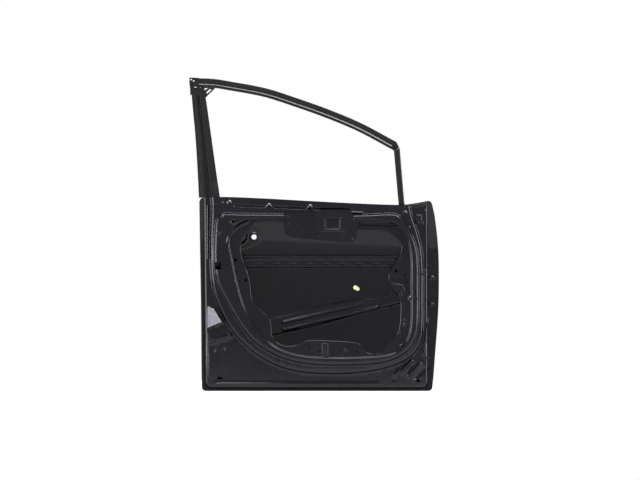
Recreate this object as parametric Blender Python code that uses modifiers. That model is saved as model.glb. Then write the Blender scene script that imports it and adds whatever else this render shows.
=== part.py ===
"""Front left car door shell of pressed steel, seen square-on from the cabin side.

Metres, +Z up, +X toward the front of the car, +Y out of the car. In this file x runs from the
rear lower corner of the body, z from its lower edge, and depth from the belly of the outer panel
toward the cabin, so that y is -depth. An empty then moves all pieces until the middle of the
upper hinge face is at the origin.
"""
import math

import bmesh
import bpy
import numpy as np
from mathutils import Matrix, Vector
from mathutils.geometry import delaunay_2d_cdt

# Body of the door
body_length = 0.948
body_height = 0.780
weld_gap = 0.0003
corner_radius = 0.014
line_spacing = 0.045
line_turn_share = 0.030
merge_distance = 0.000001
match_distance = 0.00001
clear_share = 0.3
curve_steps = 24
corner_shares = (0.25, 0.5, 0.75)
square_corners = np.array([(-1, -1), (1, -1), (1, 1), (-1, 1)])
nut_sides = 6
hole_sides = 8
round_sides = 12
scoop_sides = 20

# Heights as shares of the body's height, and bolt pitches as shares of their plates
belly_share = 0.4615
crease_share = 0.8205
handle_share = 0.7897
belt_share = 0.9936
channel_foot_share = 0.436
upper_hinge_share = 0.7179
lower_hinge_share = 0.2436
check_share = 0.6026
latch_share = 0.5385
hinge_plate_share = 0.1282
check_plate_share = 0.0897
hinge_pitch_share = 0.56
check_pitch_share = 0.629

# Outer panel
skin_thickness = 0.0008
belly_height = body_height * belly_share
barrel_drop = 0.042
barrel_radius = (body_height - belly_height) ** 2 / (2 * barrel_drop)
crease_height = body_height * crease_share
crease_slope_share = 0.07
plan_centre = 0.450
plan_radius = 8.0
hem_gap = 0.0004
stamping_gap = 0.0008
hem_width = 0.0095
hem_angles = (60, 120)
skin_top_drop = 0.0060
skin_grid = 0.090
scoop_length = 0.104
scoop_height = 0.076
scoop_depth = 0.016
scoop_run = 0.014
scoop_x = 0.134
handle_height = body_height * handle_share
handle_front_x = 0.208
handle_rear_x = 0.054
handle_hole_radius = 0.010
lock_hole_radius = 0.013

# Inner panel: thickness and the depth of each level
panel_thickness = 0.0010
land_depth = 0.076
shelf_depth = 0.096
face_depth = 0.116
recess_depth = 0.105
flange_inset = 0.0022
seam_width = 0.018
wall_radius = 0.024
wall_draft_share = math.tan(math.radians(5))
step_run = 0.008
recess_run = 0.006
dent_run = 0.004
panel_grid = 0.080
panel_hole_radius = 0.0065
small_hole_radius = 0.0035
latch_hole_width = 0.018
latch_hole_height = 0.028
drain_radius = 0.0045
drain_stretch = 2.0
land_bead_radius = 0.009
land_bead_rise = 0.005
flange_bead_radius = 0.005
flange_bead_rise = 0.003
patch_rise = 0.006
belt_dent_radius = 0.010
belt_dent_rise = 0.004

# Window frame
frame_thickness = 0.0012
belt_height = body_height * belt_share
glass_belt_depth = 0.075
glass_lean_share = math.tan(math.radians(10))
glass_radius = 1.90
header_width = 0.036
header_spacing = 0.055
frame_outer_face = 0.0080
frame_inner_face = 0.0200
channel_thickness = 0.0010
channel_leg = 0.016
channel_foot_height = body_height * channel_foot_share
header_face_share = 0.68
sash_face_share = 0.95
nest = frame_thickness / 2 + 2 * weld_gap + channel_thickness / 2
foot_spacing = 0.014
pillar_stations = 12
channel_stations = 20
sash_stations = 10
tab_hole_radius = 0.0035

# Stamped reinforcements
beam_thickness = 0.0016
beam_standoff = 0.006
beam_rise = 0.014
beam_flange = 0.012
bead_rise = 0.007
bead_radius = 0.009
beam_grid = 0.070
rail_thickness = 0.0010
bracket_thickness = 0.0012
hinge_plate_thickness = 0.0025
hinge_plate_height = body_height * hinge_plate_share
hinge_plate_width = 0.030
upper_hinge_height = body_height * upper_hinge_share
lower_hinge_height = body_height * lower_hinge_share
check_height = body_height * check_share
check_plate_height = body_height * check_plate_share
latch_height = body_height * latch_share
nut_width = 0.013
nut_height = 0.0065
nut_metallic = 0.6
hinge_bolt_pitch = hinge_plate_height * hinge_pitch_share
hinge_bolt_radius = 0.0042
mastic_radius = 0.010
mastic_gap = 0.0008
check_bolt_pitch = check_plate_height * check_pitch_share
check_opening = 0.018
latch_bolt_pitch = 0.070
latch_opening = 0.026
cut_length = 0.012
end_plate_height = 0.060
end_plate_reach = 0.045
end_plate_tail = 0.022
rail_rise = 0.010
rail_fold = 0.012
stiffener_rise = 0.006
ridge_rise = 0.005
ridge_radius = 0.006
stiffener_slot_length = 0.022
stiffener_slot_radius = 0.003
plate_emboss = 0.005
plate_grid = 0.060
channel_bracket_height = 0.024
channel_bracket_flange = 0.014
nut_hole_radius = 0.003
hole_margin = 0.004
emboss_radius = 0.005
scoop_clearance = 0.004
bracket_play = 0.0007
bracket_seat = weld_gap + bracket_thickness / 2 + bracket_play
beam_wall_share = 0.40

# Outlines as shares of the body's length and height
bottom_side_shares = [(0.0, 0.0), (0.5, 0.0), (0.972, 0.0)]
front_side_shares = [
    (0.972, 0.0), (0.984, 0.190), (0.997, 0.405), (1.0, 0.567), (0.997, 0.728), (0.982, 0.895),
    (0.966, 0.981),
]
top_side_shares = [
    (0.966, 0.981), (0.920, 0.970), (0.869, 0.961), (0.829, 0.957), (0.646, 0.965),
    (0.456, 0.977), (0.245, 0.991), (0.078, 0.998), (-0.011, 0.992),
]
rear_side_shares = [(-0.011, 0.992), (-0.009, 0.774), (-0.005, 0.467), (-0.002, 0.108), (0.0, 0.0)]
wall_line_shares = [(0.019, 0.023), (0.949, 0.023), (0.949, 1.250), (0.008, 1.250)]
shelf_line_shares = [
    (0.068, 1.236), (0.040, 0.903), (0.035, 0.723), (0.042, 0.554), (0.070, 0.436),
    (0.114, 0.333), (0.173, 0.246), (0.253, 0.169), (0.359, 0.113), (0.489, 0.090),
    (0.667, 0.095), (0.802, 0.128), (0.887, 0.182), (0.926, 0.265), (0.934, 0.374),
    (0.934, 0.467), (0.934, 0.621), (0.928, 0.723), (0.910, 0.815), (0.884, 0.913),
    (0.874, 1.000), (0.868, 1.236),
]
face_line_shares = [
    (0.084, 0.910), (0.063, 0.887), (0.056, 0.846), (0.051, 0.682), (0.063, 0.569),
    (0.095, 0.481), (0.145, 0.373), (0.215, 0.259), (0.331, 0.174), (0.456, 0.139),
    (0.624, 0.133), (0.772, 0.149), (0.861, 0.200), (0.904, 0.282), (0.914, 0.390),
    (0.914, 0.518), (0.914, 0.636), (0.908, 0.723), (0.892, 0.785), (0.864, 0.851),
    (0.841, 0.892), (0.810, 0.910), (0.667, 0.905), (0.414, 0.908), (0.160, 0.910),
]
recess_line_shares = [
    (0.118, 0.697), (0.135, 0.595), (0.165, 0.456), (0.203, 0.359), (0.253, 0.278),
    (0.316, 0.216), (0.401, 0.180), (0.498, 0.167), (0.709, 0.169), (0.806, 0.187),
    (0.852, 0.226), (0.878, 0.287), (0.888, 0.374), (0.888, 0.544), (0.888, 0.662),
    (0.882, 0.733), (0.869, 0.800), (0.840, 0.846), (0.802, 0.869), (0.684, 0.882),
    (0.540, 0.887), (0.346, 0.889), (0.190, 0.884), (0.139, 0.849), (0.114, 0.800),
    (0.110, 0.749),
]
aperture_shares = [
    (0.167, 0.761), (0.177, 0.795), (0.203, 0.821), (0.213, 0.849), (0.236, 0.864),
    (0.346, 0.865), (0.540, 0.862), (0.635, 0.856), (0.658, 0.828), (0.768, 0.818),
    (0.810, 0.792), (0.838, 0.754), (0.840, 0.723), (0.829, 0.686), (0.802, 0.628),
    (0.788, 0.592), (0.792, 0.554), (0.815, 0.521), (0.833, 0.482), (0.838, 0.415),
    (0.831, 0.323), (0.812, 0.269), (0.778, 0.238), (0.755, 0.200), (0.719, 0.190),
    (0.688, 0.208), (0.662, 0.244), (0.540, 0.259), (0.447, 0.261), (0.420, 0.249),
    (0.384, 0.232), (0.348, 0.233), (0.314, 0.254), (0.295, 0.290), (0.291, 0.354),
    (0.276, 0.387), (0.243, 0.423), (0.213, 0.467), (0.203, 0.554), (0.189, 0.621),
    (0.172, 0.674), (0.163, 0.726),
]
plate_shares = [
    (0.346, 0.915), (0.346, 0.836), (0.352, 0.803), (0.371, 0.788), (0.608, 0.760),
    (0.635, 0.764), (0.652, 0.785), (0.654, 0.836), (0.656, 0.872), (0.637, 0.900),
    (0.629, 0.921), (0.612, 0.929), (0.506, 0.929), (0.489, 0.921), (0.481, 0.915),
]
beam_bottom_shares = [
    (0.018, 0.205), (0.181, 0.236), (0.300, 0.270), (0.447, 0.308), (0.571, 0.346),
    (0.749, 0.405), (0.793, 0.419), (0.9475, 0.460),
]
beam_top_shares = [
    (0.9475, 0.530), (0.802, 0.515), (0.749, 0.500), (0.642, 0.486), (0.447, 0.437),
    (0.291, 0.389), (0.181, 0.349), (0.018, 0.313),
]
# Beads of the beam, each from one end to the other
beam_bead_shares = [((0.345, 0.352), (0.665, 0.443)), ((0.345, 0.315), (0.740, 0.428))]
mastic_shares = [(0.240, 0.312), (0.480, 0.3725), (0.620, 0.413)]
stiffener_shares = [(0.110, 0.616), (0.865, 0.616), (0.865, 0.709), (0.110, 0.709)]
stiffener_web_shares = [(0.120, 0.630), (0.855, 0.630), (0.855, 0.699), (0.120, 0.699)]
stiffener_ridge_shares = [(0.135, 0.688), (0.840, 0.688)]
stiffener_slot_shares = [0.245, 0.315, 0.385, 0.455, 0.525, 0.595, 0.665, 0.735, 0.805]
stiffener_slot_height_share = 0.650
outer_rail_shares = [
    (0.265, 0.862), (0.815, 0.862), (0.815, 0.938), (0.646, 0.944), (0.456, 0.956), (0.265, 0.968),
]
inner_rail_shares = [
    (0.105, 0.914), (0.800, 0.914), (0.800, 0.945), (0.646, 0.949), (0.456, 0.961),
    (0.245, 0.975), (0.105, 0.981),
]
inner_rail_fold_shares = [(0.105, 0.930), (0.800, 0.930)]
handle_plate_shares = [
    (0.026, 0.730), (0.140, 0.7175), (0.205, 0.735), (0.240, 0.755), (0.252, 0.790),
    (0.240, 0.825), (0.205, 0.845), (0.150, 0.874), (0.026, 0.858),
]
mirror_plate_shares = [(0.898, 0.820), (0.934, 0.820), (0.934, 0.940), (0.898, 0.940)]
gusset_shares = [(-0.002, 1.564), (-0.002, 1.503), (0.019, 1.503), (0.061, 1.553), (0.061, 1.564)]
gusset_hole_shares = [
    [(0.008, 1.549), (0.013, 1.538), (0.028, 1.549)],
    [(0.020, 1.526), (0.025, 1.522), (0.042, 1.541), (0.035, 1.545)],
]
tab_shares = [(-0.0505, 1.5745), (-0.046, 1.5680), (-0.011, 1.5680), (-0.011, 1.6015), (-0.0505, 1.6030)]
tab_hole_shares = [(-0.0425, 1.5930), (-0.032, 1.5860)]
foot_shares = [
    (0.050, 0.921), (0.078, 0.921), (0.0735, 1.012), (0.0655, 1.077), (0.0425, 1.077),
    (0.049, 1.012),
]
channel_front_shares = [
    (0.1420, 0.436), (0.108, 0.720), (0.0745, 1.010), (0.0605, 1.122), (0.0465, 1.246),
    (0.0325, 1.370), (0.019, 1.485),
]
header_lower_shares = [
    (-0.022, 1.5535), (0.016, 1.5530), (0.055, 1.550), (0.097, 1.542), (0.260, 1.505),
    (0.393, 1.454), (0.527, 1.396), (0.660, 1.328), (0.802, 1.236),
]
header_tip_shares = [(0.810, 1.2297), (0.832, 1.246)]
pillar_rear_shares = [
    (-0.013, 0.9925), (-0.020, 1.169), (-0.028, 1.323), (-0.036, 1.431), (-0.044, 1.5525),
]
pillar_front_shares = [
    (0.077, 0.9975), (0.062, 1.122), (0.048, 1.246), (0.034, 1.370), (0.013, 1.5525),
]
sash_rear_shares = [(0.873, 0.436), (0.828, 0.966), (0.8085, 1.2285)]
sash_front_shares = [(0.895, 0.436), (0.854, 0.966), (0.834, 1.2460)]

# Frame sections: share of the member's width, share of the inner or outer face's distance
header_section_shares = [
    (0.02, 1.0), (0.80, 1.0), (0.98, 0.55), (0.98, 0.10), (0.85, -0.15), (0.84, -0.52),
    (0.78, -0.68), (0.64, -0.68), (0.59, -0.50), (0.50, -0.50), (0.45, -0.68), (0.06, -0.68),
    (0.02, -0.58),
]
pillar_section_shares = [
    (0.985, 1.0), (0.04, 1.0), (0.01, 0.6), (0.01, 0.0), (0.10, 0.0), (0.13, -0.60),
    (0.38, -0.72), (0.42, -0.52), (0.50, -0.52), (0.54, -1.0), (0.58, -1.0), (0.60, -0.82),
    (0.65, -0.82), (0.67, -1.0), (0.985, -1.0),
]
sash_section_shares = [
    (0.03, 1.0), (0.88, 1.0), (0.97, 0.7), (0.97, -0.80), (0.88, -0.95), (0.68, -0.95),
    (0.60, -0.75), (0.48, -0.75), (0.40, -0.95), (0.03, -0.95),
]

channel_section_shares = [(0.98, 1.0), (0.06, 1.0), (0.06, -1.0), (0.98, -1.0)]
emboss_shares = [(0.519, 0.826), (0.603, 0.826), (0.603, 0.880), (0.519, 0.880)]

# Centres of the inner panel's holes
panel_hole_shares = [(0.142, 0.672), (0.186, 0.569), (0.133, 0.869), (0.818, 0.615), (0.911, 0.052)]
small_hole_shares = [
    (0.148, 0.610), (0.156, 0.564), (0.862, 0.559), (0.857, 0.595), (0.901, 0.510),
    (0.857, 0.369), (0.840, 0.308), (0.838, 0.243), (0.451, 0.222), (0.498, 0.205),
]
latch_hole_shares = [(0.0735, 0.642)]
drain_slot_shares = [(0.076, 0.067)]
# Small pressings of the inner panel
patch_shares = [
    (0.022, 0.318), (0.060, 0.325), (0.086, 0.352), (0.056, 0.400), (0.038, 0.438), (0.022, 0.433),
]
bead_end_shares = [
    ((0.034, 0.252), (0.112, 0.285)),
    ((0.858, 0.110), (0.893, 0.150)),
    ((0.890, 0.085), (0.918, 0.125)),
]
flange_bead_shares = [((0.965, 0.585), (0.974, 0.585)), ((0.965, 0.446), (0.976, 0.446))]
mirror_dent_shares = [(0.902, 0.860), (0.928, 0.860), (0.928, 0.905), (0.902, 0.905)]
belt_dent_shares = [(0.116, 0.966), (0.283, 0.951), (0.456, 0.945)]


def to_lengths(shares):
    """Points in the door's plane from shares of the body's length and height."""
    return np.array(shares, float) * (body_length, body_height)


def smooth_line(points, closed):
    """Dense smooth curve through the points."""
    points = np.asarray(points, float)
    ahead = np.roll(points, -1, axis=0)
    behind = np.roll(points, 1, axis=0)
    if not closed:
        ahead[-1] = points[-1]
        behind[0] = points[0]
    reach = np.linalg.norm(ahead - points, axis=1) + np.linalg.norm(points - behind, axis=1)
    tangents = (ahead - behind) / reach[:, None]
    t = (np.arange(curve_steps) / curve_steps)[:, None]
    runs = []
    for i in range(len(points) if closed else len(points) - 1):
        j = (i + 1) % len(points)
        length = np.linalg.norm(points[j] - points[i])
        runs.append(
            (2 * t**3 - 3 * t**2 + 1) * points[i]
            + (t**3 - 2 * t**2 + t) * length * tangents[i]
            + (3 * t**2 - 2 * t**3) * points[j]
            + (t**3 - t**2) * length * tangents[j]
        )
    if not closed:
        runs.append(points[-1:])
    return np.vstack(runs)


def thinned(line, closed, spacing, keep=()):
    """Fewer points of a dense line: close together where it turns, far apart where it runs straight."""
    picked = [0]
    length = 0.0
    turn = 0.0
    heading = None
    for i in range(1, len(line)):
        move = line[i] - line[i - 1]
        size = np.linalg.norm(move)
        if size == 0.0:
            continue
        direction = math.atan2(move[1], move[0])
        if heading is not None:
            turn += abs((direction - heading + math.pi) % (2 * math.pi) - math.pi)
        heading = direction
        length += size
        if length >= spacing or turn >= line_turn_share * 2 * math.pi or i in keep:
            picked.append(i)
            length = 0.0
            turn = 0.0
    if not closed and picked[-1] != len(line) - 1:
        picked.append(len(line) - 1)
    return picked


def loop_from(shares, spacing=line_spacing):
    """Closed smooth contour through points given as shares of the body."""
    dense = smooth_line(to_lengths(shares), True)
    return dense[thinned(dense, True, spacing)]


def rounded_loop(points, radius, segments=3):
    """Closed outline of straight sides with each corner rounded."""
    points = np.asarray(points, float)
    loop = []
    for before, here, after in zip(np.roll(points, 1, axis=0), points, np.roll(points, -1, axis=0)):
        back = before - here
        on = after - here
        start = here + back / np.linalg.norm(back) * radius
        end = here + on / np.linalg.norm(on) * radius
        for i in range(segments + 1):
            t = i / segments
            loop.append((1 - t) ** 2 * start + 2 * t * (1 - t) * here + t**2 * end)
    return np.array(loop)


def divided(loop, spacing):
    """The same closed loop with points added along its long sides."""
    result = []
    for a, b in zip(loop, np.roll(loop, -1, axis=0)):
        count = max(1, math.ceil(np.linalg.norm(b - a) / spacing))
        result.extend(a + (b - a) * i / count for i in range(count))
    return np.array(result)


def circle(centre, radius, count=round_sides, stretch=1.0):
    """Points round a circle, or round an oval when stretched along x."""
    angles = np.arange(count) / count * 2 * math.pi
    ring = np.column_stack((np.cos(angles) * stretch, np.sin(angles))) * radius
    return ring + np.asarray(centre, float)


def slot(start, end, radius, count=4):
    """Outline of a long bead or slot with round ends."""
    start = np.asarray(start, float)
    end = np.asarray(end, float)
    heading = math.atan2(*(end - start)[::-1])
    turns = (np.arange(count + 1) / count - 0.5) * math.pi
    cap = np.column_stack((np.cos(turns + heading), np.sin(turns + heading))) * radius
    return np.vstack((end + cap, start - cap))


def inset(loop, distance):
    """A counterclockwise loop moved inward by a distance, or by one distance for each point."""
    on = np.roll(loop, -1, axis=0) - loop
    back = loop - np.roll(loop, 1, axis=0)
    on = np.column_stack((-on[:, 1], on[:, 0])) / np.linalg.norm(on, axis=1)[:, None]
    back = np.column_stack((-back[:, 1], back[:, 0])) / np.linalg.norm(back, axis=1)[:, None]
    normal = on + back
    normal *= 2 / (normal**2).sum(axis=1)[:, None]
    return loop + normal * np.reshape(distance, (-1, 1))


def distance_inside(loop, points):
    """Distance from each point to a closed loop, positive for points inside it."""
    points = np.atleast_2d(points)
    side = np.roll(loop, -1, axis=0) - loop
    to_point = points[:, None] - loop[None]
    share = np.clip((to_point * side).sum(axis=2) / (side**2).sum(axis=1), 0.0, 1.0)
    gap = np.linalg.norm(to_point - share[:, :, None] * side, axis=2).min(axis=1)
    low = loop[:, 1] > points[:, 1:2]
    high = np.roll(loop[:, 1], -1) > points[:, 1:2]
    rise = np.where(side[:, 1] == 0.0, 1.0, side[:, 1])
    crossing = loop[:, 0] + side[:, 0] * to_point[:, :, 1] / rise
    odd = ((low != high) & (points[:, 0:1] < crossing)).sum(axis=1) % 2 == 1
    return np.where(odd, gap, -gap)


def ramp(distance, run):
    """0 at the foot of a pressing's wall, 1 at its top."""
    return np.clip(distance / run, 0.0, 1.0)


def skin_depth(points):
    """Depth of the outer panel's middle surface: barrel, plan curve and the shoulder crease."""
    x, z = np.atleast_2d(points).T
    barrel = (z - belly_height) ** 2 / (2 * barrel_radius)
    plan = (x - plan_centre) ** 2 / (2 * plan_radius)
    return barrel + plan + np.maximum(0.0, z - crease_height) * crease_slope_share


def glass_depth(z):
    """Depth of the window glass, which leans toward the cabin above the belt."""
    above = z - belt_height
    return glass_belt_depth + glass_lean_share * above + above**2 / (2 * glass_radius)


def body_outline(top_drop):
    """Outline of the body's panels and, for each point, whether it is on the hemmed sides."""
    lowered = [(x, z - top_drop / body_height) for x, z in top_side_shares]
    sides = [bottom_side_shares, front_side_shares, lowered, rear_side_shares]
    runs = []
    for side in sides:
        dense = smooth_line(to_lengths(side), False)
        crease = int(np.argmin(abs(dense[:, 1] - crease_height)))
        if side in (front_side_shares, rear_side_shares):
            dense[crease, 1] = crease_height
        start = np.linalg.norm(dense - dense[0], axis=1) >= corner_radius
        end = np.linalg.norm(dense - dense[-1], axis=1) >= corner_radius
        first = int(np.argmax(start))
        kept = dense[start & end]
        runs.append(kept[thinned(kept, False, line_spacing, (crease - first,))])
    loop = []
    hemmed = []
    for i, run in enumerate(runs):
        corner = to_lengths([sides[i][-1]])[0]
        after = runs[(i + 1) % len(runs)][0]
        loop.extend(run)
        hemmed.extend([i != 2] * len(run))
        for t in corner_shares:
            loop.append((1 - t) ** 2 * run[-1] + 2 * t * (1 - t) * corner + t**2 * after)
            hemmed.append(i in (0, 3))
    return np.array(loop), np.array(hemmed)


def grid_points(outline, spacing, lines, clearance):
    """Even points inside an outline that keep clear of the pressing lines."""
    low = outline.min(axis=0)
    high = outline.max(axis=0)
    xs = np.arange(low[0] + spacing / 2, high[0], spacing)
    zs = np.arange(low[1] + spacing / 2, high[1], spacing)
    points = np.array([(x, z) for x in xs for z in zs]).reshape(-1, 2)
    points = points[distance_inside(outline, points) > clearance]
    for line in lines:
        points = points[abs(distance_inside(line, points)) > clearance]
    return points


def sheet_mesh(outline, holes, lines, points, depth_at, open_lines=()):
    """Triangulated sheet in the door's plane, cut to its outline and holes and set to its depth."""
    spots = []
    edges = []
    for loop in [outline, *holes, *lines]:
        first = len(spots)
        spots.extend(loop)
        edges.extend((first + i, first + (i + 1) % len(loop)) for i in range(len(loop)))
    for line in open_lines:
        first = len(spots)
        spots.extend(line)
        edges.extend((first + i, first + i + 1) for i in range(len(line) - 1))
    spots.extend(points)
    spots = [Vector(spot) for spot in spots]
    found, _, faces, *_ = delaunay_2d_cdt(spots, edges, [], 0, merge_distance)
    found = np.array([tuple(spot) for spot in found])
    centres = np.array([found[face].mean(axis=0) for face in faces])
    kept = distance_inside(outline, centres) > 0
    for hole in holes:
        kept &= distance_inside(hole, centres) < 0
    depths = depth_at(found)
    bm = bmesh.new()
    verts = [bm.verts.new((x, -depth, z)) for (x, z), depth in zip(found, depths)]
    for face, keep in zip(faces, kept):
        if keep:
            bm.faces.new([verts[i] for i in face])
    bmesh.ops.delete(bm, geom=[vert for vert in bm.verts if not vert.link_faces], context="VERTS")
    return bm


def finish(name, colour, roughness, metallic=0.0):
    """Principled material of one sub-part."""
    material = bpy.data.materials.new(name)
    material.use_nodes = True
    shader = material.node_tree.nodes["Principled BSDF"]
    shader.inputs["Base Color"].default_value = (*colour, 1.0)
    shader.inputs["Roughness"].default_value = roughness
    shader.inputs["Metallic"].default_value = metallic
    return material


def add_object(name, mesh, material, location=(0.0, 0.0, 0.0), turn=None):
    """New object of the door, parented to the empty that sets the origin."""
    made = bpy.data.objects.new(name, mesh)
    made.data.materials.append(material)
    parts.objects.link(made)
    made.parent = door
    made.matrix_local = Matrix.Translation(location) @ (turn or Matrix.Identity(4))
    return made


def coat(name):
    """Black dip coat of one pressing."""
    return finish(name + "_coat", (0.012, 0.011, 0.016), 0.32)


def add_sheet(name, bm, thickness):
    """Pressed sheet: an open surface with Solidify to both sides of it."""
    mesh = bpy.data.meshes.new(name)
    bm.to_mesh(mesh)
    bm.free()
    sheet = add_object(name, mesh, coat(name))
    wall = sheet.modifiers.new("sheet_thickness", "SOLIDIFY")
    wall.thickness = thickness
    wall.offset = 0.0
    wall.use_even_offset = True
    wall.use_quality_normals = True
    return sheet


def pressed_sheet(name, outline, holes, lines, spacing, depth_at, thickness, folds=()):
    """Sheet with pressing lines and even points between them."""
    points = grid_points(outline, spacing, [*holes, *lines], spacing * clear_share)
    for fold in folds:
        points = points[abs(points[:, 1] - fold[0][1]) > spacing * clear_share]
    bm = sheet_mesh(outline, holes, lines, points, depth_at, folds)
    return add_sheet(name, bm, thickness)


def loft(rings):
    """Closed solid through rings of points, with flat ends."""
    bm = bmesh.new()
    rows = [[bm.verts.new(point) for point in ring] for ring in rings]
    for row, after in zip(rows, rows[1:]):
        for i in range(len(row)):
            j = (i + 1) % len(row)
            bm.faces.new((row[i], row[j], after[j], after[i]))
    bm.faces.new(rows[0][::-1])
    bm.faces.new(rows[-1])
    bmesh.ops.recalc_face_normals(bm, faces=bm.faces)
    return bm


def strip_section(midline, thickness):
    """Closed section of a strip that is folded along a midline."""
    midline = np.asarray(midline, float)
    move = np.diff(midline, axis=0)
    normal = np.column_stack((-move[:, 1], move[:, 0])) / np.linalg.norm(move, axis=1)[:, None]
    corner = normal[:-1] + normal[1:]
    corner *= 2 / (corner**2).sum(axis=1)[:, None]
    normal = np.vstack((normal[:1], corner, normal[-1:]))
    half = normal * thickness / 2
    return np.vstack((midline + half, (midline - half)[::-1]))


def frame_member(name, low_edge, high_edge, section_shares, thickness=frame_thickness,
                 outer_face=frame_outer_face, inner_face=frame_inner_face):
    """Folded frame strip between two edge lines in the door's plane, leaning with the glass."""
    rings = []
    for low, high in zip(low_edge, high_edge):
        across = high - low
        width = np.linalg.norm(across)
        across = across / width
        midline = [
            (u * width, v * (outer_face if v > 0 else inner_face))
            for u, v in section_shares
        ]
        ring = []
        for u, v in strip_section(midline, thickness):
            x, z = low + across * u
            ring.append((x, v - glass_depth(z), z))
        rings.append(ring)
    mesh = bpy.data.meshes.new(name)
    bm = loft(rings)
    bm.to_mesh(mesh)
    bm.free()
    return add_object(name, mesh, coat(name))


def flat_plate(name, outline, holes, thickness, location, turn, material):
    """Flat plate from a filled 2D curve, with its holes as further splines."""
    curve = bpy.data.curves.new(name, "CURVE")
    curve.dimensions = "2D"
    curve.fill_mode = "BOTH"
    curve.extrude = thickness / 2
    for loop in [outline, *holes]:
        spline = curve.splines.new("POLY")
        spline.points.add(len(loop) - 1)
        for point, (x, z) in zip(spline.points, loop):
            point.co = (x, z, 0.0, 1.0)
        spline.use_cyclic_u = True
    return add_object(name, curve, material, location, turn)


def wall_turn(outward, along):
    """Rotation that lays a flat plate against a wall, its first side along the depth."""
    outward = Vector(outward).normalized()
    along = Vector(along).normalized()
    across = along.cross(outward)
    turn = Matrix((across, along, outward)).transposed()
    return turn.to_4x4()


def cutter(name, mesh, location, turn):
    """Shape that is only cut away from others."""
    made = bpy.data.objects.new(name, mesh)
    cutters.objects.link(made)
    made.parent = door
    made.matrix_local = Matrix.Translation(location) @ turn
    made.hide_render = True
    made.display_type = "WIRE"
    return made


def cut(target, tools):
    """Cut each tool away from the target."""
    for tool in tools:
        step = target.modifiers.new(tool.name, "BOOLEAN")
        step.operation = "DIFFERENCE"
        step.object = tool


# Inner panel
def wall_place(side, height, depth, offset):
    """Point and outward direction on the front or rear wall, offset outward from its middle."""
    wall = to_lengths(wall_line_shares)
    low, high = (wall[1], wall[2]) if side == "front" else (wall[0], wall[3])
    sign = 1 if side == "front" else -1
    share = (height - low[1]) / (high[1] - low[1])
    x = low[0] + (high[0] - low[0]) * share + sign * wall_draft_share * (land_depth - depth)
    along = Vector((high[0] - low[0], 0.0, high[1] - low[1])).normalized()
    slope = Vector((sign * wall_draft_share, 1.0, 0.0))
    outward = slope.cross(along) * sign
    outward.normalize()
    place = Vector((x, -depth, height)) + outward * offset
    return place, outward, along


def wall_middle_depth(side, height):
    """Depth midway between the flange and the land on the front or rear wall."""
    wall = to_lengths(wall_line_shares)
    x = wall[1, 0] if side == "front" else wall[0, 0]
    return (flange_depth((x, height))[0] + land_depth) / 2


def wall_cutters():
    """Hinge and check strap openings of the front wall, latch openings of the rear wall."""
    found = []
    rows = [
        ("front", upper_hinge_height, hinge_bolt_pitch),
        ("front", lower_hinge_height, hinge_bolt_pitch),
        ("front", check_height, check_bolt_pitch),
        ("rear", latch_height, latch_bolt_pitch),
    ]
    for side, height, pitch in rows:
        for sign in (-1, 1):
            found.append((side, height + sign * pitch / 2, hinge_bolt_radius))
    found.append(("front", check_height, check_opening / 2))
    found.append(("rear", latch_height, latch_opening / 2))
    tools = []
    for i, (side, height, radius) in enumerate(found):
        place, outward, along = wall_place(side, height, wall_middle_depth(side, height), 0.0)
        bm = bmesh.new()
        bmesh.ops.create_cone(bm, cap_ends=True, segments=round_sides, radius1=radius,
                              radius2=radius, depth=cut_length)
        mesh = bpy.data.meshes.new("wall_cutter")
        bm.to_mesh(mesh)
        bm.free()
        tools.append(cutter("wall_cutter_%d" % i, mesh, place, wall_turn(outward, along)))
    return tools


def flange_depth(points):
    """Depth of the flange that lies against the outer panel."""
    return skin_depth(points) + skin_thickness / 2 + hem_gap + panel_thickness / 2


def panel_lines():
    """Every pressing of the inner panel as (contour, depth change, run of its wall)."""
    rise = shelf_depth - land_depth
    pressings = [
        (loop_from(shelf_line_shares), rise, step_run),
        (loop_from(face_line_shares), face_depth - shelf_depth, step_run),
        (loop_from(recess_line_shares), recess_depth - face_depth, recess_run),
    ]
    for centre in to_lengths(belt_dent_shares):
        pressings.append((circle(centre, belt_dent_radius), -belt_dent_rise, dent_run))
    for ends in bead_end_shares:
        pressings.append((slot(*to_lengths(ends), land_bead_radius), land_bead_rise, dent_run))
    for ends in flange_bead_shares:
        pressings.append((slot(*to_lengths(ends), flange_bead_radius), flange_bead_rise, dent_run))
    patch = rounded_loop(to_lengths(patch_shares), dent_run)
    pressings.append((patch, patch_rise, dent_run))
    dent = rounded_loop(to_lengths(mirror_dent_shares), dent_run)
    pressings.append((dent, land_bead_rise, dent_run))
    return pressings


def panel_depth(points, pressings, wall):
    """Depth of the inner panel: flange, draft wall, land, then each pressing on top."""
    flange = flange_depth(points)
    drop = land_depth - flange
    outside = np.maximum(0.0, -distance_inside(wall, points))
    depth = flange + drop * (1 - ramp(outside, drop * wall_draft_share))
    for contour, rise, run in pressings:
        depth = depth + rise * ramp(distance_inside(contour, points), run)
    return depth


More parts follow.
